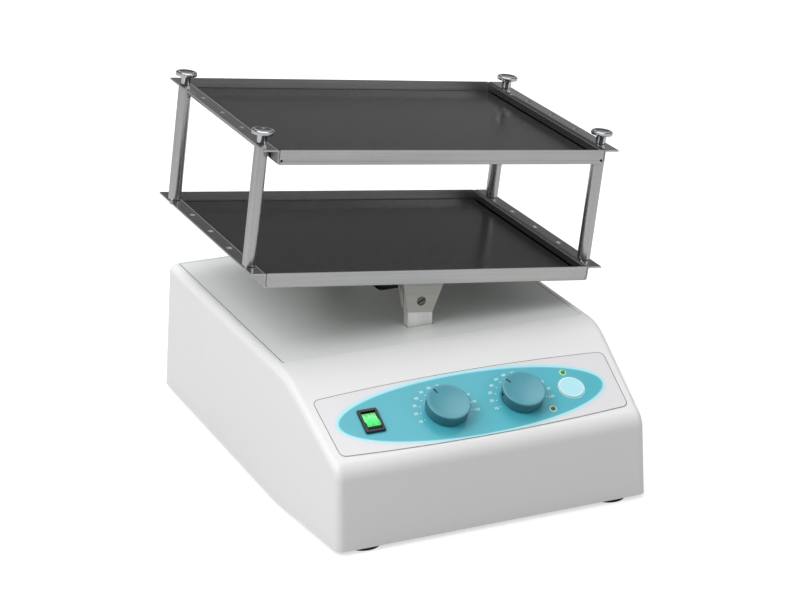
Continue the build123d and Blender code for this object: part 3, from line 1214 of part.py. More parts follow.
def main():
    os.makedirs("parts", exist_ok=True)
    save("housing_shell", housing_shell())
    save("top_cover", top_cover())
    save("base_plate", base_plate())
    for name, (x, y) in zip(("front_left", "front_right", "rear_left", "rear_right"), foot_places()):
        save(f"foot_{name}", Pos(x, y, 0) * foot())
    save("foot_screws", Compound([Pos(x, y, 0) * foot_screw() for x, y in foot_places()]))
    for place, y in zip(("front", "rear"), bar_middles()):
        save(f"pivot_post_{place}", pivot_post(y))
        save(f"pivot_bush_{place}", pivot_bush(y))
    save("base_plate_screws", base_plate_screws())
    save("pivot_bracket_front", pivot_bracket(BRACKET_FACE_Y, True))
    save("pivot_bracket_rear", pivot_bracket(REAR_BRACKET_FACE_Y - BRACKET_DEPTH, False))
    save("pivot_pins", pivot_pins())
    save("platform_rivets", bracket_rivets())

    save("lower_tray", tray(LOWER_DECK_W, False))
    save("upper_tray", tray(UPPER_DECK_W, True))
    save("lower_mat", mat(LOWER_DECK_W))
    save("upper_mat", mat(UPPER_DECK_W))
    for row, v in zip(("front", "rear"), POST_V):
        for side, u in (("left", -POST_U), ("right", POST_U)):
            save(f"tray_post_{row}_{side}", tray_post(u, v))
            save(f"thumb_screw_{row}_{side}", thumb_screw(u, v))
    save("tray_post_screws", post_screws())

    save("drive_yoke", yoke())
    save("crank_disc", crank_disc())
    save("crank_pin", crank_pin())
    save("crank_roller", crank_roller())
    save("output_shaft", output_shaft())
    save("gearbox", gearbox())
    save("motor", motor())
    save("motor_bracket", motor_bracket())
    save("motor_screws", motor_screws())

    save("panel_overlay", overlay())
    for name, x, pointer in (("speed", SPEED_KNOB_X, SPEED_POINTER), ("time", TIME_KNOB_X, TIME_POINTER)):
        save(f"{name}_knob", knob(x, pointer))
        save(f"{name}_shaft", pot_shaft(x))
        save(f"{name}_potentiometer", pot_body(x))
    save("potentiometer_nuts", pot_nuts())
    save("power_switch_frame", switch_frame())
    save("power_switch_rocker", switch_rocker())
    save("start_key", start_key())
    save("run_lamp", lamp(RUN_LAMP))
    save("hold_lamp", lamp(HOLD_LAMP))
    save("control_board", control_board())
    save("board_screws", board_screws())

    save("supply_board", supply_board())
    save("transformer_core", transformer())
    save("transformer_winding", transformer_winding())
    save("power_inlet", power_inlet())
    save("fuse_holder", fuse_holder())
    save("rating_plate", rating_plate())


main()
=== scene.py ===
# A two-deck laboratory rocker dressed for a studio picture.
# Sizes are in metres unless a name says otherwise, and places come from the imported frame.
import json
from math import asin, atan2, cos, pi, radians, sin

import bmesh
import bpy
from mathutils import Matrix, Vector

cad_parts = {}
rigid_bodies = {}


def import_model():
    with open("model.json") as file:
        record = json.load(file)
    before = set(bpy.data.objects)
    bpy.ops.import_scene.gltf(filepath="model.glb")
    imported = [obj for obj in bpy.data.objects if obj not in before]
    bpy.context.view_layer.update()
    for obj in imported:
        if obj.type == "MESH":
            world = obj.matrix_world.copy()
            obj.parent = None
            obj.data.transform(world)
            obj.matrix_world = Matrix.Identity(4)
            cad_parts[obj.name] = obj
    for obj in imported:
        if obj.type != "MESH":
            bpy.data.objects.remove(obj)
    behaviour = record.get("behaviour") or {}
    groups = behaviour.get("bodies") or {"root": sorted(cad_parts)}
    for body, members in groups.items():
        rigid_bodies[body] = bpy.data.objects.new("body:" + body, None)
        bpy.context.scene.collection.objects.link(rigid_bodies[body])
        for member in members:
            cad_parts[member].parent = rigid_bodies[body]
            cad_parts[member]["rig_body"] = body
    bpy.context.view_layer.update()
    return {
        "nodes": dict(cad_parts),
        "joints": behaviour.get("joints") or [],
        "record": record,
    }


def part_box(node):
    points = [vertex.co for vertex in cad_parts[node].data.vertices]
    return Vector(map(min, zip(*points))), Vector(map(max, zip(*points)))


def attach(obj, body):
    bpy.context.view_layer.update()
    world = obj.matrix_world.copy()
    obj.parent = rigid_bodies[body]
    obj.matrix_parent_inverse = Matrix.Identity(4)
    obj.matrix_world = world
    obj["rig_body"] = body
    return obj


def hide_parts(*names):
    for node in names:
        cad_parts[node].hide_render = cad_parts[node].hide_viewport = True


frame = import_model()
MM = 0.001


def joint_of(name):
    return next(joint for joint in frame["joints"] if joint["name"] == name)


def middle(node):
    low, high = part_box(node)
    return (low + high) / 2


# The machine's middle plane and the control panel's own directions. KNOB_ROW is how far the
# knobs lie up the slope from the bend at its foot.
BODY_X = middle("housing_shell").x
SPEED_AXIS = Vector(joint_of("speed_turn")["pos_m"])
TIME_AXIS = Vector(joint_of("time_turn")["pos_m"])
PANEL_OUT = Vector(joint_of("speed_turn")["axis"]).normalized()
PANEL_UP = PANEL_OUT.cross(Vector((1, 0, 0))).normalized()
SLOPE = atan2(PANEL_UP.z, PANEL_UP.y)
PANEL_TURN = Matrix.Rotation(SLOPE, 4, "X")
KNOB_ROW = 36.2 * MM
PANEL_ORIGIN = Vector((BODY_X, SPEED_AXIS.y, SPEED_AXIS.z)) - PANEL_UP * KNOB_ROW

# The platform's own directions, tilted as it stands
DECK_OUT = Vector(joint_of("thumb_turn_front_left")["axis"]).normalized()
TILT = asin(DECK_OUT.x)
DECK_TURN = Matrix.Rotation(TILT, 4, "Y")
PIVOT = Vector(joint_of("platform_rock")["pos_m"])
PLATFORM = Matrix.Translation(PIVOT) @ DECK_TURN

# The decks' levels above the pivot, and the levels of the panel's film and of the ink on it
LOWER_DECK = 27.2 * MM
DECK_SPACING = 89.8 * MM
UPPER_DECK = LOWER_DECK + DECK_SPACING
FILM = 0.4 * MM
INK_HEIGHT = 0.02 * MM
INK_LEVEL = FILM + INK_HEIGHT / 2


def on_panel(x, s, n=0.0):
    """The place, x across and s up the slope from the bend, that stands n out of the panel."""
    place = PANEL_ORIGIN + Vector((x, 0, 0)) + PANEL_UP * s + PANEL_OUT * n
    return Matrix.Translation(place) @ PANEL_TURN


# Camera, as in the photograph
CAMERA_PLACE = Vector((BODY_X - 0.72433, -1.61939, 0.79538))
CAMERA_AZIMUTH = 24.11
CAMERA_ELEVATION = 21.09
CAMERA_ROLL = 0.26
CAMERA_LENS_MM = 115.3


def set_camera():
    data = bpy.data.cameras.new("camera")
    data.lens = CAMERA_LENS_MM
    data.sensor_width = 36.0
    data.clip_start = 0.05
    data.clip_end = 60.0
    camera = bpy.data.objects.new("camera", data)
    bpy.context.scene.collection.objects.link(camera)
    turn = Matrix.Rotation(-radians(CAMERA_AZIMUTH), 4, "Z")
    turn @= Matrix.Rotation(radians(90 - CAMERA_ELEVATION), 4, "X")
    turn @= Matrix.Rotation(radians(CAMERA_ROLL), 4, "Z")
    camera.matrix_world = Matrix.Translation(CAMERA_PLACE) @ turn
    bpy.context.scene.camera = camera


# Small helpers for node trees


def put(tree, kind, values=None, **settings):
    """Adds a node. Each value is a number, a colour, or another node's output to link."""
    node = tree.nodes.new(kind)
    for name, value in settings.items():
        setattr(node, name, value)
    for name, value in (values or {}).items():
        socket = node.inputs[name]
        if isinstance(value, bpy.types.NodeSocket):
            tree.links.new(value, socket)
        else:
            socket.default_value = value
    return node


def math(tree, operation, first, second, clamp=False):
    node = put(tree, "ShaderNodeMath", {0: first, 1: second}, operation=operation, use_clamp=clamp)
    return node.outputs[0]


def mix_colour(tree, share, first, second):
    return put(tree, "ShaderNodeMix", {0: share, 6: first, 7: second}, data_type="RGBA").outputs[2]


def noise(tree, vector, scale, detail, roughness=0.5):
    values = {"Vector": vector, "Scale": scale, "Detail": detail, "Roughness": roughness}
    return put(tree, "ShaderNodeTexNoise", values).outputs["Fac"]


def map_range(tree, value, start, end, low=0.0, high=1.0):
    """Stretches the values from start to end over low to high."""
    values = {"Value": value, "From Min": start, "From Max": end, "To Min": low, "To Max": high}
    return put(tree, "ShaderNodeMapRange", values).outputs[0]


def scaled(tree, vector, factor):
    return put(tree, "ShaderNodeVectorMath", {0: vector, "Scale": factor}, operation="SCALE").outputs[0]


def rgb(red, green, blue):
    return (red, green, blue, 1.0)


def ramp(tree, share, stops):
    """A colour ramp from (position, colour) stops."""
    node = put(tree, "ShaderNodeValToRGB", {"Fac": share})
    elements = node.color_ramp.elements
    while len(elements) < len(stops):
        elements.new(0.5)
    for element, (position, colour) in zip(elements, stops):
        element.position = position
        element.color = colour
    return node.outputs["Color"]


def grey(value):
    return rgb(value, value, value)


def new_group(name, inputs, outputs):
    """A shader node group with named inputs and outputs."""
    tree = bpy.data.node_groups.new(name, "ShaderNodeTree")
    for label, kind, value in inputs:
        socket = tree.interface.new_socket(name=label, in_out="INPUT", socket_type="NodeSocket" + kind)
        if value is not None:
            socket.default_value = value
    for label, kind in outputs:
        tree.interface.new_socket(name=label, in_out="OUTPUT", socket_type="NodeSocket" + kind)
    return tree, tree.nodes.new("NodeGroupInput"), tree.nodes.new("NodeGroupOutput")


def edge_wear_group():
    """Marks sharp outer edges, broken up by noise, where handling has rubbed a finish."""
    tree, source, target = new_group(
        "edge wear",
        [("Vector", "Vector", None), ("Scale", "Float", 400.0), ("Amount", "Float", 0.5)],
        [("Mask", "Float")],
    )
    pointiness = put(tree, "ShaderNodeNewGeometry").outputs["Pointiness"]
    edge = map_range(tree, pointiness, 0.53, 0.62)
    cloud = noise(tree, source.outputs["Vector"], source.outputs["Scale"], 5.0, 0.65)
    both = math(tree, "MULTIPLY", edge, map_range(tree, cloud, 0.42, 0.68))
    mask = math(tree, "MULTIPLY", both, source.outputs["Amount"], clamp=True)
    tree.links.new(mask, target.inputs["Mask"])
    return tree


def mottle_group():
    """Slow and fine colour variation that keeps a flat finish from looking dead."""
    tree, source, target = new_group(
        "mottle",
        [("Vector", "Vector", None), ("Colour", "Color", grey(0.8)), ("Scale", "Float", 30.0),
         ("Amount", "Float", 0.05), ("Fine", "Float", 0.03)],
        [("Colour", "Color")],
    )
    slow = noise(tree, source.outputs["Vector"], source.outputs["Scale"], 4.0, 0.6)
    fine_scale = math(tree, "MULTIPLY", source.outputs["Scale"], 45.0)
    fine = noise(tree, source.outputs["Vector"], fine_scale, 2.0)
    slow_part = math(tree, "MULTIPLY", math(tree, "SUBTRACT", slow, 0.5), source.outputs["Amount"])
    fine_part = math(tree, "MULTIPLY", math(tree, "SUBTRACT", fine, 0.5), source.outputs["Fine"])
    shade = math(tree, "ADD", math(tree, "ADD", slow_part, fine_part), 1.0)
    tree.links.new(scaled(tree, source.outputs["Colour"], shade), target.inputs["Colour"])
    return tree


def grain_group():
    """Fine parallel scratches along one direction of the vector, as brushing or rolling leaves."""
    tree, source, target = new_group(
        "brushed grain",
        [("Vector", "Vector", None), ("Scale", "Float", 900.0), ("Rough low", "Float", 0.2),
         ("Rough high", "Float", 0.4)],
        [("Height", "Float"), ("Roughness", "Float"), ("Shade", "Float")],
    )
    fine = noise(tree, source.outputs["Vector"], source.outputs["Scale"], 6.0, 0.7)
    wide_scale = math(tree, "MULTIPLY", source.outputs["Scale"], 0.11)
    wide = noise(tree, source.outputs["Vector"], wide_scale, 3.0, 0.6)
    roughness = map_range(tree, fine, 0.3, 0.7, source.outputs["Rough low"], source.outputs["Rough high"])
    tree.links.new(fine, target.inputs["Height"])
    tree.links.new(roughness, target.inputs["Roughness"])
    tree.links.new(map_range(tree, wide, 0.3, 0.7, 0.9, 1.06), target.inputs["Shade"])
    return tree


def pebble_group():
    """The fine pebbled skin of moulded plastic, sprayed paint or rubber."""
    tree, source, target = new_group(
        "pebbled skin",
        [("Vector", "Vector", None), ("Scale", "Float", 1500.0), ("Rough low", "Float", 0.35),
         ("Rough high", "Float", 0.5)],
        [("Height", "Float"), ("Roughness", "Float")],
    )
    vector, scale = source.outputs["Vector"], source.outputs["Scale"]
    cells = put(tree, "ShaderNodeTexVoronoi", {"Vector": vector, "Scale": scale}, feature="SMOOTH_F1")
    cloud = noise(tree, vector, scale, 3.0)
    height = math(tree, "ADD", math(tree, "MULTIPLY", cells.outputs["Distance"], 0.6), cloud)
    roughness = map_range(tree, cloud, 0.3, 0.7, source.outputs["Rough low"], source.outputs["Rough high"])
    tree.links.new(height, target.inputs["Height"])
    tree.links.new(roughness, target.inputs["Roughness"])
    return tree


def dust_group():
    """Thin dust that settles on what faces up."""
    tree, source, target = new_group(
        "settled dust",
        [("Vector", "Vector", None), ("Scale", "Float", 60.0), ("Amount", "Float", 0.1)],
        [("Mask", "Float")],
    )
    normal = put(tree, "ShaderNodeNewGeometry").outputs["Normal"]
    upward = map_range(tree, put(tree, "ShaderNodeSeparateXYZ", {0: normal}).outputs["Z"], 0.4, 1.0)
    cloud = noise(tree, source.outputs["Vector"], source.outputs["Scale"], 8.0, 0.75)
    both = math(tree, "MULTIPLY", upward, map_range(tree, cloud, 0.45, 0.75))
    tree.links.new(math(tree, "MULTIPLY", both, source.outputs["Amount"], clamp=True), target.inputs["Mask"])
    return tree


EDGE_WEAR = edge_wear_group()
MOTTLE = mottle_group()
GRAIN = grain_group()
PEBBLE = pebble_group()
DUST = dust_group()


def fill(tree, group, values):
    """One of the groups above, with its own values."""
    return put(tree, "ShaderNodeGroup", values, node_tree=group)


def start_material(name):
    """A material with its shader, and the piece's own coordinates to read."""
    material = bpy.data.materials.new(name)
    material.use_nodes = True
    tree = material.node_tree
    shader = tree.nodes["Principled BSDF"]
    coordinates = put(tree, "ShaderNodeTexCoord").outputs["Object"]
    return material, tree, shader, coordinates


def bump(tree, shader, height, strength, distance):
    node = put(tree, "ShaderNodeBump", {"Height": height, "Strength": strength, "Distance": distance})
    tree.links.new(node.outputs["Normal"], shader.inputs["Normal"])


EVEN = (1.0, 1.0, 1.0)
ALONG_X = (1.0, 60.0, 60.0)
ALONG_Y = (60.0, 1.0, 60.0)
ALONG_Z = (60.0, 60.0, 1.0)


def turned(tree, coordinates, matrix, stretch=EVEN):
    """The piece's coordinates seen in a turned and shifted frame, stretched for a grain."""
    inverse = matrix.inverted()
    values = {"Vector": coordinates, "Rotation": inverse.to_euler(), "Location": inverse.to_translation()}
    vector = put(tree, "ShaderNodeMapping", values).outputs["Vector"]
    if stretch == EVEN:
        return vector
    return put(tree, "ShaderNodeMapping", {"Vector": vector, "Scale": stretch}).outputs["Vector"]


def rubbed(tree, coordinates, base, colour, scale, amount, gain):
    """The base with a paler tone of its colour where edges are rubbed."""
    wear = fill(tree, EDGE_WEAR, {"Vector": coordinates, "Scale": scale, "Amount": amount})
    pale = rgb(*(min(1.0, channel * gain + 0.05) for channel in colour))
    return mix_colour(tree, wear.outputs["Mask"], base, pale)


def dusted(tree, coordinates, base, scale, amount, tone):
    """The base with a little dust on what faces up."""
    film = fill(tree, DUST, {"Vector": coordinates, "Scale": scale, "Amount": amount})
    return mix_colour(tree, film.outputs["Mask"], base, tone)


def moulded(name, colour, rough=(0.38, 0.5), scale=1500.0, strength=0.12, worn=0.15, mottle=0.04,
            coat=0.0, dust=0.0):
    """Moulded plastic, enamel or rubber: pebbled skin, slight mottling, rubbed edges and a little dust."""
    material, tree, shader, coordinates = start_material(name)
    tone = fill(tree, MOTTLE, {
        "Vector": coordinates, "Colour": rgb(*colour), "Scale": 14.0, "Amount": mottle, "Fine": mottle * 0.6,
    })
    skin = fill(tree, PEBBLE, {
        "Vector": coordinates, "Scale": scale, "Rough low": rough[0], "Rough high": rough[1],
    })
    base = rubbed(tree, coordinates, tone.outputs["Colour"], colour, 300.0, worn, 1.12)
    if dust:
        base = dusted(tree, coordinates, base, 70.0, dust, rgb(0.55, 0.54, 0.52))
    tree.links.new(base, shader.inputs["Base Color"])
    tree.links.new(skin.outputs["Roughness"], shader.inputs["Roughness"])
    shader.inputs["Coat Weight"].default_value = coat
    shader.inputs["Coat Roughness"].default_value = 0.12
    bump(tree, shader, skin.outputs["Height"], strength, 0.0001)
    return material


def metal(name, colour, stretch, rough=(0.2, 0.35), matrix=Matrix.Identity(4), scale=900.0, strength=0.08,
          worn=0.2, metallic=1.0, dust=0.0):
    """Rolled, brushed or turned metal with scratches along one direction."""
    material, tree, shader, coordinates = start_material(name)
    grain = fill(tree, GRAIN, {
        "Vector": turned(tree, coordinates, matrix, stretch), "Scale": scale / 30.0,
        "Rough low": rough[0], "Rough high": rough[1],
    })
    tone = fill(tree, MOTTLE, {
        "Vector": coordinates, "Colour": rgb(*colour), "Scale": 22.0, "Amount": 0.08, "Fine": 0.02,
    })
    shaded = scaled(tree, tone.outputs["Colour"], grain.outputs["Shade"])
    base = rubbed(tree, coordinates, shaded, colour, 500.0, worn, 1.25)
    if dust:
        base = dusted(tree, coordinates, base, 90.0, dust, rgb(0.5, 0.5, 0.48))
    tree.links.new(base, shader.inputs["Base Color"])
    tree.links.new(grain.outputs["Roughness"], shader.inputs["Roughness"])
    shader.inputs["Metallic"].default_value = metallic
    bump(tree, shader, grain.outputs["Height"], strength, 0.00005)
    return material


# The printed film: a teal oval with a pale glowing rim on a light ground
OVAL_CENTRE = (-0.9 * MM, 38.0 * MM)
OVAL_HALF = (102.9 * MM, 28.4 * MM)
RIM_REACH = 4.0 * MM
TEAL = rgb(0.072, 0.455, 0.55)
TEAL_DEEP = rgb(0.085, 0.45, 0.55)
GLOW = rgb(0.36, 0.80, 0.88)
HALO = rgb(0.56, 0.76, 0.80)
GROUND = rgb(0.74, 0.73, 0.75)


def length_after(tree, vector, factors):
    """The vector's length once each of its parts is multiplied by its own factor."""
    product = put(tree, "ShaderNodeVectorMath", {0: vector, 1: factors}, operation="MULTIPLY").outputs[0]
    return put(tree, "ShaderNodeVectorMath", {0: product}, operation="LENGTH").outputs["Value"]


def printed_film():
    """The print follows how far a point is from the oval's edge, so that the rim is even all round."""
    material, tree, shader, coordinates = start_material("printed film")
    flat = turned(tree, coordinates, on_panel(*OVAL_CENTRE))
    half_x, half_y = OVAL_HALF
    reach = length_after(tree, flat, (1 / half_x, 1 / half_y, 0.0))
    slope = length_after(tree, flat, (1 / half_x ** 2, 1 / half_y ** 2, 0.0))
    outside = math(tree, "DIVIDE", math(tree, "MULTIPLY", reach, math(tree, "SUBTRACT", reach, 1.0)), slope)
    share = math(tree, "ADD", math(tree, "DIVIDE", outside, 2 * RIM_REACH), 0.5)
    rings = ramp(tree, share, [
        (0.0, TEAL), (0.34, TEAL_DEEP), (0.46, GLOW), (0.54, GLOW), (0.64, HALO), (0.86, GROUND),
    ])
    tone = fill(tree, MOTTLE, {"Vector": coordinates, "Scale": 20.0, "Amount": 0.05, "Fine": 0.02})
    tree.links.new(rings, tone.inputs["Colour"])
    tree.links.new(tone.outputs["Colour"], shader.inputs["Base Color"])
    skin = fill(tree, PEBBLE, {"Vector": coordinates, "Scale": 2200.0, "Rough low": 0.3, "Rough high": 0.4})
    tree.links.new(skin.outputs["Roughness"], shader.inputs["Roughness"])
    shader.inputs["Coat Weight"].default_value = 0.15
    bump(tree, shader, skin.outputs["Height"], 0.05, 0.00005)
    return material


def lit(name, colour, glow, strength, place=None, stops=((0.0, 1.0), (1.0, 1.0))):
    """A lens lit from behind. Each small cell is brighter in its middle, and the stops change it up the
    slope; on the rocker they are painted shade that dims its top and foot.
    """
    material, tree, shader, coordinates = start_material(name)
    flat = turned(tree, coordinates, place) if place else coordinates
    cells = put(tree, "ShaderNodeTexVoronoi", {"Vector": flat, "Scale": 480.0})
    facets = map_range(tree, cells.outputs["Distance"], 0.1, 0.8, 1.7, 0.6)
    height = put(tree, "ShaderNodeSeparateXYZ", {0: flat}).outputs["Y"]
    share = map_range(tree, height, -ROCKER_HALF, ROCKER_HALF)
    # The ramp up the slope: on the rocker, painted shade that dims the glow towards its top and foot.
    slope = ramp(tree, share, [(position, grey(value)) for position, value in stops])
    shade = math(tree, "MULTIPLY", facets, slope)
    tree.links.new(scaled(tree, glow, shade), shader.inputs["Emission Color"])
    shader.inputs["Emission Strength"].default_value = strength
    base = fill(tree, MOTTLE, {"Vector": coordinates, "Colour": rgb(*colour), "Scale": 60.0, "Amount": 0.15})
    tree.links.new(base.outputs["Colour"], shader.inputs["Base Color"])
    shader.inputs["Roughness"].default_value = 0.25
    shader.inputs["Coat Weight"].default_value = 0.6
    return material


# The lit switch: its centre on the panel, half its height, and how bright it is from its foot to its top, its
# lamp's glow dimmed towards the top and the foot by painted shade
SWITCH_CENTRE = (-79.2 * MM, 38.1 * MM)
ROCKER_HALF = 8.0 * MM
ROCKER_GLOW_AND_SHADE = ((0.0, 0.12), (0.16, 0.45), (0.34, 0.95), (0.56, 1.0), (0.74, 0.55), (0.92, 0.12), (1.0, 0.06))
MATERIALS = {
    "housing": moulded("moulded housing", (0.80, 0.80, 0.805), rough=(0.34, 0.46), scale=1300.0,
                       strength=0.14, mottle=0.03, coat=0.05, dust=0.02),
    "cover": moulded("cover enamel", (0.78, 0.81, 0.79), rough=(0.22, 0.26), scale=1600.0, strength=0.02,
                     mottle=0.03, coat=0.2),
    # Painted shade for the top cover's rounded edge at its sides and rear.
    "cover_edge_shade": moulded("cover edge shade", (0.16, 0.165, 0.16), rough=(0.4, 0.5)),
    "base_plate": moulded("base enamel", (0.40, 0.41, 0.42), rough=(0.3, 0.45), scale=900.0, mottle=0.08,
                          worn=0.4),
    "foot": moulded("foot rubber", (0.012, 0.012, 0.014), rough=(0.5, 0.7), scale=1800.0, strength=0.3,
                    dust=0.1),
    "black_plastic": moulded("black plastic", (0.004, 0.006, 0.010), rough=(0.25, 0.35), scale=2500.0,
                             strength=0.08, worn=0.12),
    "knob": moulded("knob plastic", (0.082, 0.32, 0.395), rough=(0.3, 0.42), scale=2600.0, strength=0.08,
                    mottle=0.08, worn=0.35, coat=0.15),
    # A darker copy of the knob plastic: painted shade on the knob's sides and underside.
    "knob_shaded_side": moulded("knob shaded side", (0.032, 0.15, 0.19), rough=(0.3, 0.42), scale=2600.0, strength=0.08,
                          mottle=0.08, worn=0.25, coat=0.15),
    "knob_mark": moulded("pointer paint", (0.006, 0.02, 0.026), rough=(0.4, 0.5)),
    "film_edge": moulded("film edge ink", (0.10, 0.085, 0.085), rough=(0.4, 0.5)),
    "white_ink": moulded("white ink", (0.88, 0.98, 0.98), rough=(0.35, 0.5), scale=3000.0),
    "run_ring": moulded("pale green ring ink", (0.42, 0.84, 0.46), rough=(0.35, 0.5), scale=3000.0),
    "hold_ring": moulded("pale ring ink", (0.62, 0.78, 0.70), rough=(0.35, 0.5), scale=3000.0),
    "key": moulded("key film", (0.44, 0.80, 0.87), rough=(0.4, 0.5), scale=2400.0, mottle=0.05),
    "key_rim": moulded("key rim", (0.74, 0.95, 0.97), rough=(0.4, 0.5), scale=2400.0),
    "mat": moulded("tray mat", (0.009, 0.009, 0.0095), rough=(0.14, 0.26), scale=380.0, strength=0.05,
                   mottle=0.2, dust=0.02),
    "roller": moulded("roller nylon", (0.78, 0.76, 0.70), rough=(0.3, 0.45)),
    "circuit_board": moulded("circuit board", (0.03, 0.16, 0.06), rough=(0.25, 0.4), scale=800.0, mottle=0.3),
    "winding": moulded("winding tape", (0.45, 0.20, 0.06), rough=(0.35, 0.5), scale=600.0, strength=0.4,
                       mottle=0.3),
    "core": metal("laminated core", (0.22, 0.22, 0.24), ALONG_Z, rough=(0.4, 0.6), strength=0.4),
    "gearbox": metal("cast gearbox", (0.42, 0.43, 0.45), EVEN, rough=(0.35, 0.5), strength=0.3),
    "motor": metal("motor can", (0.55, 0.56, 0.58), ALONG_Y, rough=(0.22, 0.38)),
    "bracket": metal("pivot bracket plate", (0.50, 0.49, 0.455), ALONG_X, rough=(0.36, 0.5),
                     matrix=PLATFORM, metallic=0.5, strength=0.1, worn=0.5),
    "post_bar": metal("post bar", (0.95, 0.95, 0.94), ALONG_Z, rough=(0.26, 0.42), worn=0.4, metallic=0.6),
    "bush": metal("bush bronze", (0.62, 0.40, 0.18), EVEN, rough=(0.25, 0.4)),
    "tray": metal("tray steel", (0.48, 0.48, 0.475), ALONG_X, rough=(0.08, 0.16), matrix=PLATFORM,
                  scale=2600.0, strength=0.04, worn=0.5, dust=0.02),
    "tray_wall": metal("brushed tray wall", (0.65, 0.65, 0.64), ALONG_X, rough=(0.26, 0.4), matrix=PLATFORM,
                       scale=2200.0, strength=0.1, worn=0.4),
    # A darker, duller copy of the tray steel: painted shade on the trays' undersides.
    "tray_shaded_underside": metal("tray underside painted shade", (0.34, 0.34, 0.335), ALONG_X, rough=(0.45, 0.6),
                            matrix=PLATFORM, strength=0.1),
    "tray_seam": moulded("tray seam", (0.03, 0.03, 0.03), rough=(0.5, 0.6)),
    "tray_post": metal("drawn post", (0.63, 0.63, 0.64), ALONG_Z, rough=(0.2, 0.3), matrix=PLATFORM,
                       scale=1800.0, strength=0.05),
    "thumb_screw": metal("plated thumb screw", (0.70, 0.72, 0.74), EVEN, rough=(0.05, 0.11), strength=0.02,
                         worn=0.3),
    "screw": metal("zinc screw", (0.62, 0.62, 0.64), EVEN, rough=(0.22, 0.35)),
    # A dark zinc grey, darkened further as painted shade of the recess round each pin's head.
    "pin": metal("dark zinc pivot pin with painted shade", (0.20, 0.20, 0.20), EVEN, rough=(0.24, 0.38)),
    "shaft": metal("ground shaft", (0.64, 0.64, 0.65), ALONG_Y, rough=(0.12, 0.25)),
    "yoke": metal("cut yoke sheet", (0.55, 0.55, 0.57), ALONG_Z, rough=(0.3, 0.45), matrix=PLATFORM),
    "crank": metal("turned crank", (0.74, 0.74, 0.75), ALONG_Y),
    "potentiometer": metal("potentiometer can", (0.50, 0.50, 0.48), EVEN, rough=(0.3, 0.45)),
    "plate": metal("blank plate", (0.76, 0.76, 0.76), ALONG_X, rough=(0.25, 0.4), strength=0.1),
    "overlay": printed_film(),
    "rocker": lit("lit rocker", (0.008, 0.12, 0.02), (0.09, 0.86, 0.19), 1.5,
                  place=on_panel(*SWITCH_CENTRE), stops=ROCKER_GLOW_AND_SHADE),
    # A dark copy of the rocker's green: painted shade on its sides.
    "rocker_shaded_side": moulded("rocker shaded side", (0.004, 0.05, 0.010), rough=(0.2, 0.3), coat=0.4),
    "run_lamp": lit("run lamp lens", (0.02, 0.16, 0.03), (0.03, 0.30, 0.05), 0.35),
    "hold_lamp": lit("hold lamp lens", (0.13, 0.09, 0.035), (0.16, 0.10, 0.03), 0.15),
}


# Mesh helpers


def only(piece):
    """Selects one object and makes it active, with everything else let go."""
    bpy.ops.object.select_all(action="DESELECT")
    piece.select_set(True)
    bpy.context.view_layer.objects.active = piece


def editing(piece, steps):
    """Runs the steps in edit mode on one piece."""
    only(piece)
    bpy.ops.object.mode_set(mode="EDIT")
    steps()
    bpy.ops.object.mode_set(mode="OBJECT")


def pick(piece, test, part="FACE"):
    """Selects, in edit mode, the faces, edges or points that pass the test."""
    bpy.ops.mesh.select_mode(type=part)
    bpy.ops.mesh.select_all(action="DESELECT")
    mesh = bmesh.from_edit_mesh(piece.data)
    if part == "FACE":
        for face in mesh.faces:
            if test(face.calc_center_median(), face.normal):
                face.select = True
    elif part == "EDGE":
        for edge in mesh.edges:
            start, end = edge.verts[0].co, edge.verts[1].co
            if test((start + end) / 2, (end - start).normalized()):
                edge.select = True
    else:
        for point in mesh.verts:
            if test(point.co, point.normal):
                point.select = True
    mesh.select_flush_mode()
    bmesh.update_edit_mesh(piece.data)


def paint_faces(piece, material, test, slot=None):
    """Gives the faces that pass the test, of one material slot if it is named, another material."""
    piece.data.materials.append(MATERIALS[material])
    index = len(piece.data.materials) - 1
    for face in piece.data.polygons:
        if test(face.center, face.normal) and slot in (None, face.material_index):
            face.material_index = index


def finish_modifier(piece, kind, **settings):
    only(piece)
    modifier = piece.modifiers.new(kind.lower(), kind)
    for name, value in settings.items():
        setattr(modifier, name, value)
    bpy.ops.object.modifier_apply(modifier=modifier.name)


SHARP = radians(30.0)
FLAT = radians(0.6)
SAME_POINT = 0.002 * MM


def smooth(piece):
    only(piece)
    bpy.ops.object.shade_smooth_by_angle(angle=SHARP)


def soften(piece, width, segments=2):
    """Rounds the sharp edges a little, smooths the rest and keeps large faces flat in reflections."""
    finish_modifier(piece, "BEVEL", width=width, segments=segments, limit_method="ANGLE", angle_limit=SHARP)
    smooth(piece)
    finish_modifier(piece, "WEIGHTED_NORMAL", mode="FACE_AREA", weight=100, keep_sharp=True)


def settle(piece, matrix=None):
    """Puts the piece at a place and turn, and leaves its object at the origin."""
    if matrix is not None:
        piece.matrix_world = matrix @ piece.matrix_world
    only(piece)
    bpy.ops.object.transform_apply(location=True, rotation=True, scale=True)


def mount(piece, body, slot, *nodes):
    """Names what the piece rides on and which solids it stands for; its slot is not used."""
    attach(piece, body)
    if nodes:
        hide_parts(*nodes)
    return piece


def body_of(node):
    return frame["nodes"][node]["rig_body"]


def slot_of(node):
    return next(entry["material_slot"] for entry in frame["record"]["subparts"] if entry["node"] == node)


def named(name, material):
    """Names the new primitive and gives it its material."""
    piece = bpy.context.object
    piece.name = piece.data.name = name
    piece.data.materials.append(MATERIALS[material])
    return piece


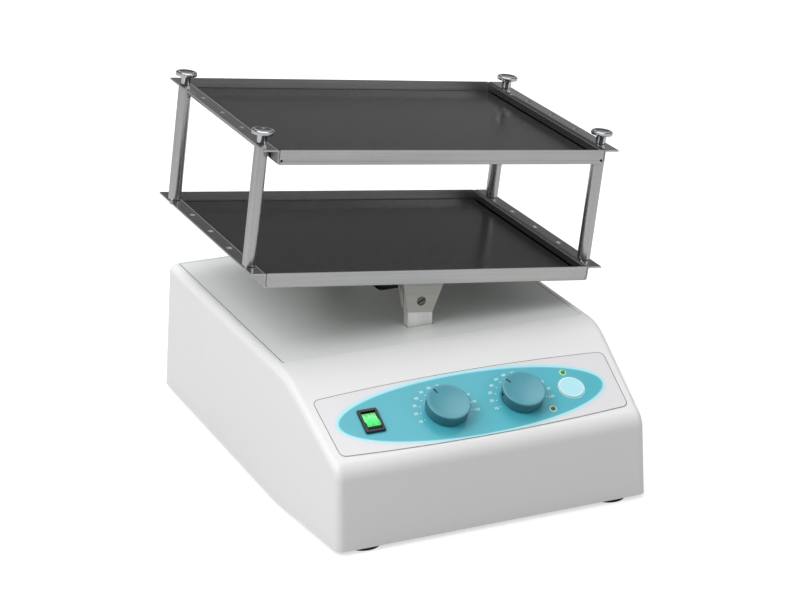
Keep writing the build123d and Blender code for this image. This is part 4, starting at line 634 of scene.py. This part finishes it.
def from_solid(node, name=None, width=0.25 * MM, segments=2, material=None, flatten=True):
    """A piece on a copy of a solid's mesh: merged, flat parts joined, its edges softened."""
    source = frame["nodes"][node]
    mesh = source.data.copy()
    piece = bpy.data.objects.new(name or node + "_piece", mesh)
    bpy.context.scene.collection.objects.link(piece)

    def clean():
        bpy.ops.mesh.select_all(action="SELECT")
        bpy.ops.mesh.remove_doubles(threshold=SAME_POINT)
        if flatten:
            bpy.ops.mesh.dissolve_limited(angle_limit=FLAT)

    editing(piece, clean)
    piece.data.materials.clear()
    piece.data.materials.append(MATERIALS[material or slot_of(node)])
    if width:
        soften(piece, width, segments)
    else:
        smooth(piece)
    return mount(piece, body_of(node), slot_of(node), node)


def turned_part(name, material, profile, sides=96):
    """A lathe-turned piece about the Z axis: extruded and scaled from one (radius, height) to the next."""
    start = (0, 0, profile[0][1])
    bpy.ops.object.select_all(action="DESELECT")
    bpy.ops.mesh.primitive_circle_add(vertices=sides, radius=profile[0][0], fill_type="NGON", location=start)
    piece = named(name, material)
    settle(piece)

    def steps():
        bpy.ops.mesh.select_all(action="SELECT")
        for (last_radius, last_height), (radius, height) in zip(profile, profile[1:]):
            share = radius / last_radius
            bpy.ops.mesh.extrude_region_move(TRANSFORM_OT_translate={"value": (0, 0, height - last_height)})
            bpy.ops.transform.resize(value=(share, share, 1.0))
        bpy.ops.mesh.select_all(action="SELECT")
        bpy.ops.mesh.normals_make_consistent(inside=False)

    editing(piece, steps)
    return piece


def cut(piece, cutter):
    """Cuts another piece's shape out, leaving the cutter's material on the cut, and deletes the cutter."""
    finish_modifier(piece, "BOOLEAN", operation="DIFFERENCE", object=cutter, solver="EXACT",
                    material_mode="TRANSFER")
    bpy.data.objects.remove(cutter)


def slab(name, material, size, matrix, rounding):
    """A block of the given size, its upright edges rounded, at a place and turn."""
    bpy.ops.object.select_all(action="DESELECT")
    bpy.ops.mesh.primitive_cube_add(size=1.0)
    piece = named(name, material)
    piece.scale = size
    settle(piece)

    def steps():
        pick(piece, lambda centre, along: abs(along.z) > 0.9, "EDGE")
        bpy.ops.mesh.bevel(offset=rounding, segments=4)

    editing(piece, steps)
    settle(piece, matrix)
    return piece


# Control knobs, with a dished cap, a pointer groove and a grub-screw hole
KNOB_FOOT, KNOB_TOP = 15.4 * MM, 15.9 * MM
KNOB_LOW = FILM + 0.6 * MM
KNOB_HIGH = KNOB_LOW + 9.4 * MM
KNOB_CAVITY = (8.5 * MM, 4.0 * MM)
KNOB_BORE = 3.1 * MM
KNOB_CROWN = 2.4 * MM
BORE_TIP = 0.062 * MM
SKIRT_ROUND = 0.4 * MM
RIM_START = 0.95 * MM
RIM_ROUND = 0.85 * MM
RIM_TURNS = (20, 45, 70, 90)
KNOB_DISH = 1.4 * MM
DISH_EDGE = 14.2 * MM
DISH_TIP = 0.2 * MM
DISH_STEPS = 7
POINTER_SIZE = (4.4 * MM, 1.1 * MM, 1.6 * MM)
POINTER_ROUND = 0.45 * MM
POINTER_PLACE = 12.6 * MM
GRUB_RADIUS = 1.45 * MM
GRUB_START = 12.5 * MM
GRUB_LENGTH = 5.0 * MM
GRUB_HEIGHT = 5.4 * MM
GRUB_BEHIND_POINTER = 43.0
SPEED_POINTER, TIME_POINTER = 117.5, 133.0


def knob_profile():
    """From the bore's end, down through the cavity, round the skirt and over the rim into the dish."""
    radius, depth = KNOB_CAVITY
    line = [
        (BORE_TIP, KNOB_HIGH - KNOB_CROWN),
        (KNOB_BORE, KNOB_HIGH - KNOB_CROWN),
        (KNOB_BORE, KNOB_LOW + depth),
        (radius, KNOB_LOW + depth),
        (radius, KNOB_LOW),
        (KNOB_FOOT - SKIRT_ROUND, KNOB_LOW),
        (KNOB_FOOT - 0.25 * SKIRT_ROUND, KNOB_LOW + 0.3 * SKIRT_ROUND),
        (KNOB_FOOT, KNOB_LOW + SKIRT_ROUND),
        (KNOB_TOP, KNOB_HIGH - RIM_START),
    ]
    for turn in RIM_TURNS:
        inward = RIM_ROUND * (1 - cos(radians(turn)))
        down = RIM_ROUND * (1 - sin(radians(turn)))
        line.append((KNOB_TOP - inward, KNOB_HIGH - down))
    for step in range(DISH_STEPS + 1):
        share = 1 - step / DISH_STEPS
        line.append((max(DISH_EDGE * share, DISH_TIP), KNOB_HIGH - KNOB_DISH * (1 - share ** 2) ** 0.8))
    return line


def control_knob(name, node, axis, pointer):
    """A knob on its shaft, turned until its pointer stands at an angle in degrees."""
    piece = turned_part(name, "knob", knob_profile())
    turn = Matrix.Rotation(radians(pointer), 4, "Z")
    groove = turn @ Matrix.Translation((POINTER_PLACE, 0, KNOB_HIGH))
    cut(piece, slab("pointer_cut", "knob_mark", POINTER_SIZE, groove, POINTER_ROUND))
    grub = turned_part("grub_cut", "knob_mark", [(GRUB_RADIUS, 0.0), (GRUB_RADIUS, GRUB_LENGTH)], sides=32)
    side = turn @ Matrix.Rotation(radians(GRUB_BEHIND_POINTER), 4, "Z") @ Matrix.Rotation(radians(90), 4, "Y")
    lift = Matrix.Translation((0, 0, KNOB_LOW + GRUB_HEIGHT))
    settle(grub, lift @ side @ Matrix.Translation((0, 0, GRUB_START)))
    cut(piece, grub)
    # The faces that do not face up get the darker copy of the plastic: painted shade.
    paint_faces(piece, "knob_shaded_side", lambda centre, normal: normal.z < 0.3, slot=0)
    smooth(piece)
    settle(piece, on_panel(axis.x - BODY_X, KNOB_ROW))
    return mount(piece, body_of(node), slot_of(node), node)


# Thumb screws: a knurled head with a rounded rim and a shallow dish on a plain barrel. The profile runs
# from the thread's tip up the outside and into the dish, as radius and height in millimetres.
SCREW_SEAT = 0.15 * MM
SCREW_PROFILE = [
    (2.0, -11.9), (2.0, 0.0), (3.55, 0.0), (3.7, 0.15), (3.7, 5.7), (3.95, 6.15), (4.5, 6.4), (7.2, 6.4),
    (7.8, 6.65), (8.05, 7.1), (8.05, 8.6), (7.85, 9.1), (7.4, 9.4), (6.6, 9.5), (5.6, 9.4), (4.9, 9.1),
    (4.4, 8.95), (2.0, 9.0), (0.1, 9.0),
]
SCREW_SIDES = 96
KNURL_RADIUS = 7.95 * MM
KNURL_SINK = 0.975


def thumb_screw(corner):
    node = "thumb_screw_" + corner
    profile = [(radius * MM, height * MM) for radius, height in SCREW_PROFILE]
    piece = turned_part("knurled_" + node, "thumb_screw", profile, SCREW_SIDES)

    def every_third(point, normal):
        turn = round(atan2(point.y, point.x) / (2 * pi) * SCREW_SIDES)
        return point.xy.length > KNURL_RADIUS and turn % 3 == 0

    def knurl():
        pick(piece, every_third, "VERT")
        bpy.ops.transform.resize(value=(KNURL_SINK, KNURL_SINK, 1.0))

    editing(piece, knurl)
    smooth(piece)
    seat = Vector(joint_of("thumb_turn_" + corner)["pos_m"])
    deck = PLATFORM @ Vector((0, 0, UPPER_DECK))
    seat += DECK_OUT * (deck.dot(DECK_OUT) + SCREW_SEAT - seat.dot(DECK_OUT))
    settle(piece, Matrix.Translation(seat) @ DECK_TURN)
    return mount(piece, body_of(node), slot_of(node), node)


# The printed panel: dark outline, dial numbers and ticks, and rings round the key and the lamps
FILM_OUTLINE = 0.45 * MM
RING_SIDES = 64
DIAL_RADIUS = 22.6 * MM
TICK_RADII = (18.2 * MM, 19.5 * MM)
TICK_WIDTH = 0.35 * MM
DIAL_FIRST, DIAL_STEP, DIAL_COUNT = 195.0, -18.6, 12
NUMBER_SIZE = 3.2 * MM


def join(pieces, name):
    bpy.ops.object.select_all(action="DESELECT")
    for piece in pieces:
        piece.select_set(True)
    bpy.context.view_layer.objects.active = pieces[0]
    bpy.ops.object.join()
    piece = bpy.context.object
    piece.name = piece.data.name = name
    return piece


def flat_ring(name, material, outer, inner, place):
    """A printed ring on the film, as thick as the ink."""
    bpy.ops.object.select_all(action="DESELECT")
    bpy.ops.mesh.primitive_cylinder_add(vertices=RING_SIDES, radius=outer, depth=INK_HEIGHT)
    piece = named(name, material)

    def steps():
        pick(piece, lambda centre, normal: abs(normal.z) > 0.9)
        bpy.ops.mesh.inset(thickness=outer - inner)
        bpy.ops.mesh.bridge_edge_loops()

    editing(piece, steps)
    settle(piece, on_panel(*place, INK_LEVEL))
    return mount(piece, "chassis", "overlay")


def number(text, place):
    bpy.ops.object.select_all(action="DESELECT")
    bpy.ops.object.text_add()
    words = bpy.context.object
    words.data.body = text
    words.data.size = NUMBER_SIZE
    words.data.align_x = "CENTER"
    words.data.align_y = "CENTER"
    words.data.extrude = INK_HEIGHT / 2
    words.data.resolution_u = 3
    bpy.ops.object.convert(target="MESH")
    words = bpy.context.object
    words.data.materials.clear()
    words.data.materials.append(MATERIALS["white_ink"])
    settle(words, place)
    return words


def dial_numbers(name, axis):
    """Plain numbers from 10 to 120 with a tick for each, round one knob."""
    ink = []
    centre_x = axis.x - BODY_X
    for index in range(DIAL_COUNT):
        angle = radians(DIAL_FIRST + DIAL_STEP * index)
        x = centre_x + DIAL_RADIUS * cos(angle)
        s = KNOB_ROW + DIAL_RADIUS * sin(angle)
        ink.append(number(str(10 * (index + 1)), on_panel(x, s, INK_LEVEL)))
        reach = (TICK_RADII[0] + TICK_RADII[1]) / 2
        tick = on_panel(centre_x, KNOB_ROW, INK_LEVEL) @ Matrix.Rotation(angle, 4, "Z")
        size = (TICK_RADII[1] - TICK_RADII[0], TICK_WIDTH, INK_HEIGHT)
        ink.append(slab("tick", "white_ink", size, tick @ Matrix.Translation((reach, 0, 0)), TICK_WIDTH / 3))
    return mount(join(ink, name), "chassis", "overlay")


def film_piece():
    """The panel film with its dark outline. Its front is levelled, and its stored normals are cleared."""
    piece = from_solid("panel_overlay", "printed_film", width=None, flatten=False)
    piece.data.materials.append(MATERIALS["film_edge"])

    def outline():
        pick(piece, lambda centre, normal: normal.dot(PANEL_OUT) > 0.99)
        piece.active_material_index = 1
        bpy.ops.object.material_slot_assign()
        bpy.ops.mesh.inset(thickness=FILM_OUTLINE, use_even_offset=True)
        piece.active_material_index = 0
        bpy.ops.object.material_slot_assign()

    editing(piece, outline)
    for corner in piece.data.vertices:
        lift = FILM - (corner.co - PANEL_ORIGIN).dot(PANEL_OUT)
        if abs(lift) < FILM / 2:
            corner.co += PANEL_OUT * lift
    only(piece)
    bpy.ops.mesh.customdata_custom_splitnormals_clear()
    bpy.ops.object.shade_flat()


def panel_levels(node):
    """The lowest and highest level of a panel piece above the panel's face."""
    levels = [(corner.co - PANEL_ORIGIN).dot(PANEL_OUT) for corner in frame["nodes"][node].data.vertices]
    return min(levels), max(levels)


# The start key and the lamps: centres on the panel, then sizes
KEY_CENTRE = (76.3 * MM, 36.9 * MM)
RUN_CENTRE = (75.8 * MM, 51.7 * MM)
HOLD_CENTRE = (54.8 * MM, 21.4 * MM)
KEY_RADIUS = 9.1 * MM
KEY_CAP = 0.8 * MM
KEY_STEM = 2.5 * MM
KEY_TIP = 0.05 * MM
KEY_ROUND = 0.3 * MM
KEY_BREAK = 0.1 * MM
KEY_SINK = 0.08 * MM
KEY_FACE = 8.4 * MM
KEY_RING = (KEY_RADIUS + 0.85 * MM, KEY_RADIUS + 0.3 * MM)
RUN_RING = (2.75 * MM, 1.56 * MM)
HOLD_RING = (2.75 * MM, 1.85 * MM)


def start_key():
    """The round film key: a pale disc sunk a little inside its brighter rim, on a stem."""
    low, high = panel_levels("start_key")
    foot = high - KEY_CAP
    piece = turned_part("sunk_start_key", "key_rim", [
        (KEY_TIP, low),
        (KEY_STEM, low),
        (KEY_STEM, foot),
        (KEY_RADIUS - KEY_BREAK, foot),
        (KEY_RADIUS, foot + KEY_BREAK),
        (KEY_RADIUS, high - KEY_ROUND),
        (KEY_RADIUS - KEY_BREAK, high - KEY_BREAK),
        (KEY_RADIUS - KEY_ROUND, high),
        (KEY_FACE + KEY_BREAK, high),
        (KEY_FACE, high - KEY_SINK),
        (KEY_TIP, high - KEY_SINK),
    ])

    def sunk(centre, normal):
        return centre.z > high - KEY_CAP / 2 and centre.xy.length < KEY_FACE - MM

    paint_faces(piece, "key", sunk)
    smooth(piece)
    settle(piece, on_panel(*KEY_CENTRE))
    return mount(piece, body_of("start_key"), slot_of("start_key"), "start_key")


# Trays: dark seams at the ends of the front wall, painted shade on a dull underside and brushed walls
TRAY_INSIDE = 258.6 * MM
SEAM_IN = 1.1 * MM
SEAM_WIDTH = 0.5 * MM
SEAM_DEPTH = 0.5 * MM
SEAM_LENGTH = 8.0 * MM
SEAM_TOP = 0.3 * MM
SEAM_ROUND = 0.1 * MM
TRAY_EDGE = 0.2 * MM


def tray_piece(node, deck):
    piece = from_solid(node, width=None)
    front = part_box(node)[0][1]
    for side in (-1, 1):
        across = side * (TRAY_INSIDE / 2 - SEAM_IN)
        place = PLATFORM @ Matrix.Translation((across, 0, deck - SEAM_LENGTH / 2 - SEAM_TOP))
        place.translation.y = front
        size = (SEAM_WIDTH, 2 * SEAM_DEPTH, SEAM_LENGTH)
        cut(piece, slab("seam_cut", "tray_seam", size, place, SEAM_ROUND))
    # The faces turned down get the darker steel: painted shade under the trays.
    paint_faces(piece, "tray_shaded_underside", lambda centre, normal: normal.dot(DECK_OUT) < -0.8, slot=0)
    paint_faces(piece, "tray_wall", lambda centre, normal: normal.y < -0.9, slot=0)
    soften(piece, TRAY_EDGE)


# The switch's lit rocker with painted shade on its sides, and the top cover with painted shade and a painted
# highlight on its broken edge
ROCKER_EDGE = 0.35 * MM
COVER_EDGE = 0.55 * MM


def rocker_piece():
    piece = from_solid("power_switch_rocker", "lit_rocker", width=ROCKER_EDGE, segments=3)
    # The faces that do not face out get the dark green: painted shade on the rocker's sides.
    paint_faces(piece, "rocker_shaded_side", lambda centre, normal: normal.dot(PANEL_OUT) < 0.75)


def cover_piece():
    """The top cover, its rounded edge painted dark at the sides and rear as painted shade, and in the
    housing's paint along the front as a painted highlight.
    """
    piece = from_solid("top_cover", width=COVER_EDGE, segments=1)
    paint_faces(piece, "cover_edge_shade", lambda centre, normal: 0.15 < normal.z < 0.95 and normal.y > -0.5)
    # The front of the rounded edge takes the housing's paint: a painted highlight.
    paint_faces(piece, "housing", lambda centre, normal: 0.15 < normal.z < 0.95 and normal.y < -0.5)


# Lights, floor and background
WORLD_FRONT, WORLD_REAR = 0.38, 0.94
OVERHEAD = ((0.0, 0.85), (0.515, 0.9), (0.56, 0.45), (0.60, 0.16), (0.70, 0.11), (0.85, 0.12), (1.0, 0.2))
AIM_HEIGHT = 0.12
WINDOW_POWER = 22.5
TOP_POWER = 11.0
FRONT_POWER = 2.4
FLOOR_SIZE = 12.0
FLOOR_BACK = 2.0
FLOOR_TONE = 0.48
FLOOR_NEAR, FLOOR_FAR = 0.64, 0.9
FADE_START, FADE_END = 0.4, 1.8
FLOOR_MIRRORED = 0.05


def area_light(name, place, target, size, power):
    data = bpy.data.lights.new(name, "AREA")
    data.shape = "RECTANGLE"
    data.size, data.size_y = size
    data.energy = power
    light = bpy.data.objects.new(name, data)
    bpy.context.scene.collection.objects.link(light)
    direction = Vector(target) - Vector(place)
    light.matrix_world = Matrix.Translation(place) @ direction.to_track_quat("-Z", "Y").to_matrix().to_4x4()


def set_lights():
    heart = (BODY_X, 0.0, AIM_HEIGHT)
    area_light("window", (-1.35, -0.25, 1.55), heart, (1.3, 1.3), WINDOW_POWER)
    area_light("top", (0.3, 0.5, 1.9), heart, (1.2, 1.2), TOP_POWER)
    area_light("front", (1.5, -1.3, 0.8), heart, (0.9, 0.7), FRONT_POWER)


def set_world():
    """White to the camera, a soft sky that is brighter to the rear, and dark overhead in reflections."""
    world = bpy.data.worlds.new("studio")
    bpy.context.scene.world = world
    world.use_nodes = True
    tree = world.node_tree
    background = tree.nodes["Background"]
    path = put(tree, "ShaderNodeLightPath")
    coordinates = put(tree, "ShaderNodeTexCoord").outputs["Generated"]
    direction = put(tree, "ShaderNodeSeparateXYZ", {0: coordinates}).outputs
    height = map_range(tree, direction["Z"], -1.0, 1.0)
    overhead = ramp(tree, height, [(position, grey(value)) for position, value in OVERHEAD])
    around = map_range(tree, direction["Y"], -1.0, 1.0, WORLD_FRONT, WORLD_REAR)
    plain = math(tree, "MAXIMUM", path.outputs["Is Camera Ray"], path.outputs["Is Transmission Ray"])
    sky = mix_colour(tree, path.outputs["Is Glossy Ray"], around, overhead)
    tree.links.new(mix_colour(tree, plain, sky, grey(1.0)), background.inputs["Color"])


def set_floor():
    """A pale floor that turns white towards the distance and keeps the machine's shadow."""
    bpy.ops.object.select_all(action="DESELECT")
    bpy.ops.mesh.primitive_plane_add(size=FLOOR_SIZE, location=(0, FLOOR_BACK, 0))
    floor = bpy.context.object
    floor.name = "floor"
    material, tree, shader, coordinates = start_material("pale floor")
    floor.data.materials.append(material)
    settle(floor)
    tone = fill(tree, MOTTLE, {
        "Vector": coordinates, "Colour": grey(FLOOR_TONE), "Scale": 1.5, "Amount": 0.02,
    })
    tree.links.new(tone.outputs["Colour"], shader.inputs["Base Color"])
    shader.inputs["Roughness"].default_value = 0.6
    path = put(tree, "ShaderNodeLightPath")
    distance = put(tree, "ShaderNodeVectorMath", {0: coordinates}, operation="LENGTH").outputs["Value"]
    lift = map_range(tree, distance, FADE_START, FADE_END, FLOOR_NEAR, FLOOR_FAR)
    seen = math(tree, "MULTIPLY", path.outputs["Is Camera Ray"], lift)
    mirrored = math(tree, "MULTIPLY", path.outputs["Is Glossy Ray"], FLOOR_MIRRORED)
    tree.links.new(math(tree, "ADD", seen, mirrored), shader.inputs["Emission Strength"])
    shader.inputs["Emission Color"].default_value = grey(1.0)


# Pieces on copies of the solids: how far their edges are rounded, in millimetres
SOFTENED = {
    "housing_shell": 0.35, "base_plate": 0.3, "foot_screws": 0.2, "pivot_post_front": 0.5,
    "pivot_post_rear": 0.5, "pivot_bush_front": 0.2, "pivot_bush_rear": 0.2, "base_plate_screws": 0.2,
    "pivot_bracket_front": 0.4, "pivot_bracket_rear": 0.4, "platform_rivets": 0.3, "lower_mat": 0.5,
    "upper_mat": 0.5, "tray_post_screws": 0.25, "drive_yoke": 0.25, "crank_disc": 0.2, "crank_pin": 0.15,
    "crank_roller": 0.3, "output_shaft": 0.15, "gearbox": 0.4, "motor": 0.3, "motor_bracket": 0.4,
    "motor_screws": 0.2, "speed_potentiometer": 0.15, "time_potentiometer": 0.15, "potentiometer_nuts": 0.15,
    "power_switch_frame": 0.35, "control_board": 0.15, "board_screws": 0.15, "supply_board": 0.15,
    "transformer_core": 0.3, "transformer_winding": 0.5, "power_inlet": 0.3, "fuse_holder": 0.3,
    "rating_plate": 0.1, "speed_shaft": 0.15, "time_shaft": 0.15, "run_lamp": 0.1, "hold_lamp": 0.1,
}

set_camera()
for node, width in SOFTENED.items():
    from_solid(node, width=width * MM)
for corner in ("front_left", "front_right", "rear_left", "rear_right"):
    from_solid("foot_" + corner)
    from_solid("tray_post_" + corner)
    thumb_screw(corner)
tray_piece("lower_tray", LOWER_DECK)
tray_piece("upper_tray", UPPER_DECK)
cover_piece()
from_solid("pivot_pins", width=0.15 * MM, material="pin")
control_knob("dished_speed_knob", "speed_knob", SPEED_AXIS, SPEED_POINTER)
control_knob("dished_time_knob", "time_knob", TIME_AXIS, TIME_POINTER)
dial_numbers("speed_dial_ink", SPEED_AXIS)
dial_numbers("time_dial_ink", TIME_AXIS)
film_piece()
start_key()
flat_ring("key_ring_ink", "key_rim", *KEY_RING, KEY_CENTRE)
flat_ring("run_lamp_ring", "run_ring", *RUN_RING, RUN_CENTRE)
flat_ring("hold_lamp_ring", "hold_ring", *HOLD_RING, HOLD_CENTRE)
rocker_piece()

set_lights()
set_world()
set_floor()
bpy.context.scene.view_settings.view_transform = "Standard"
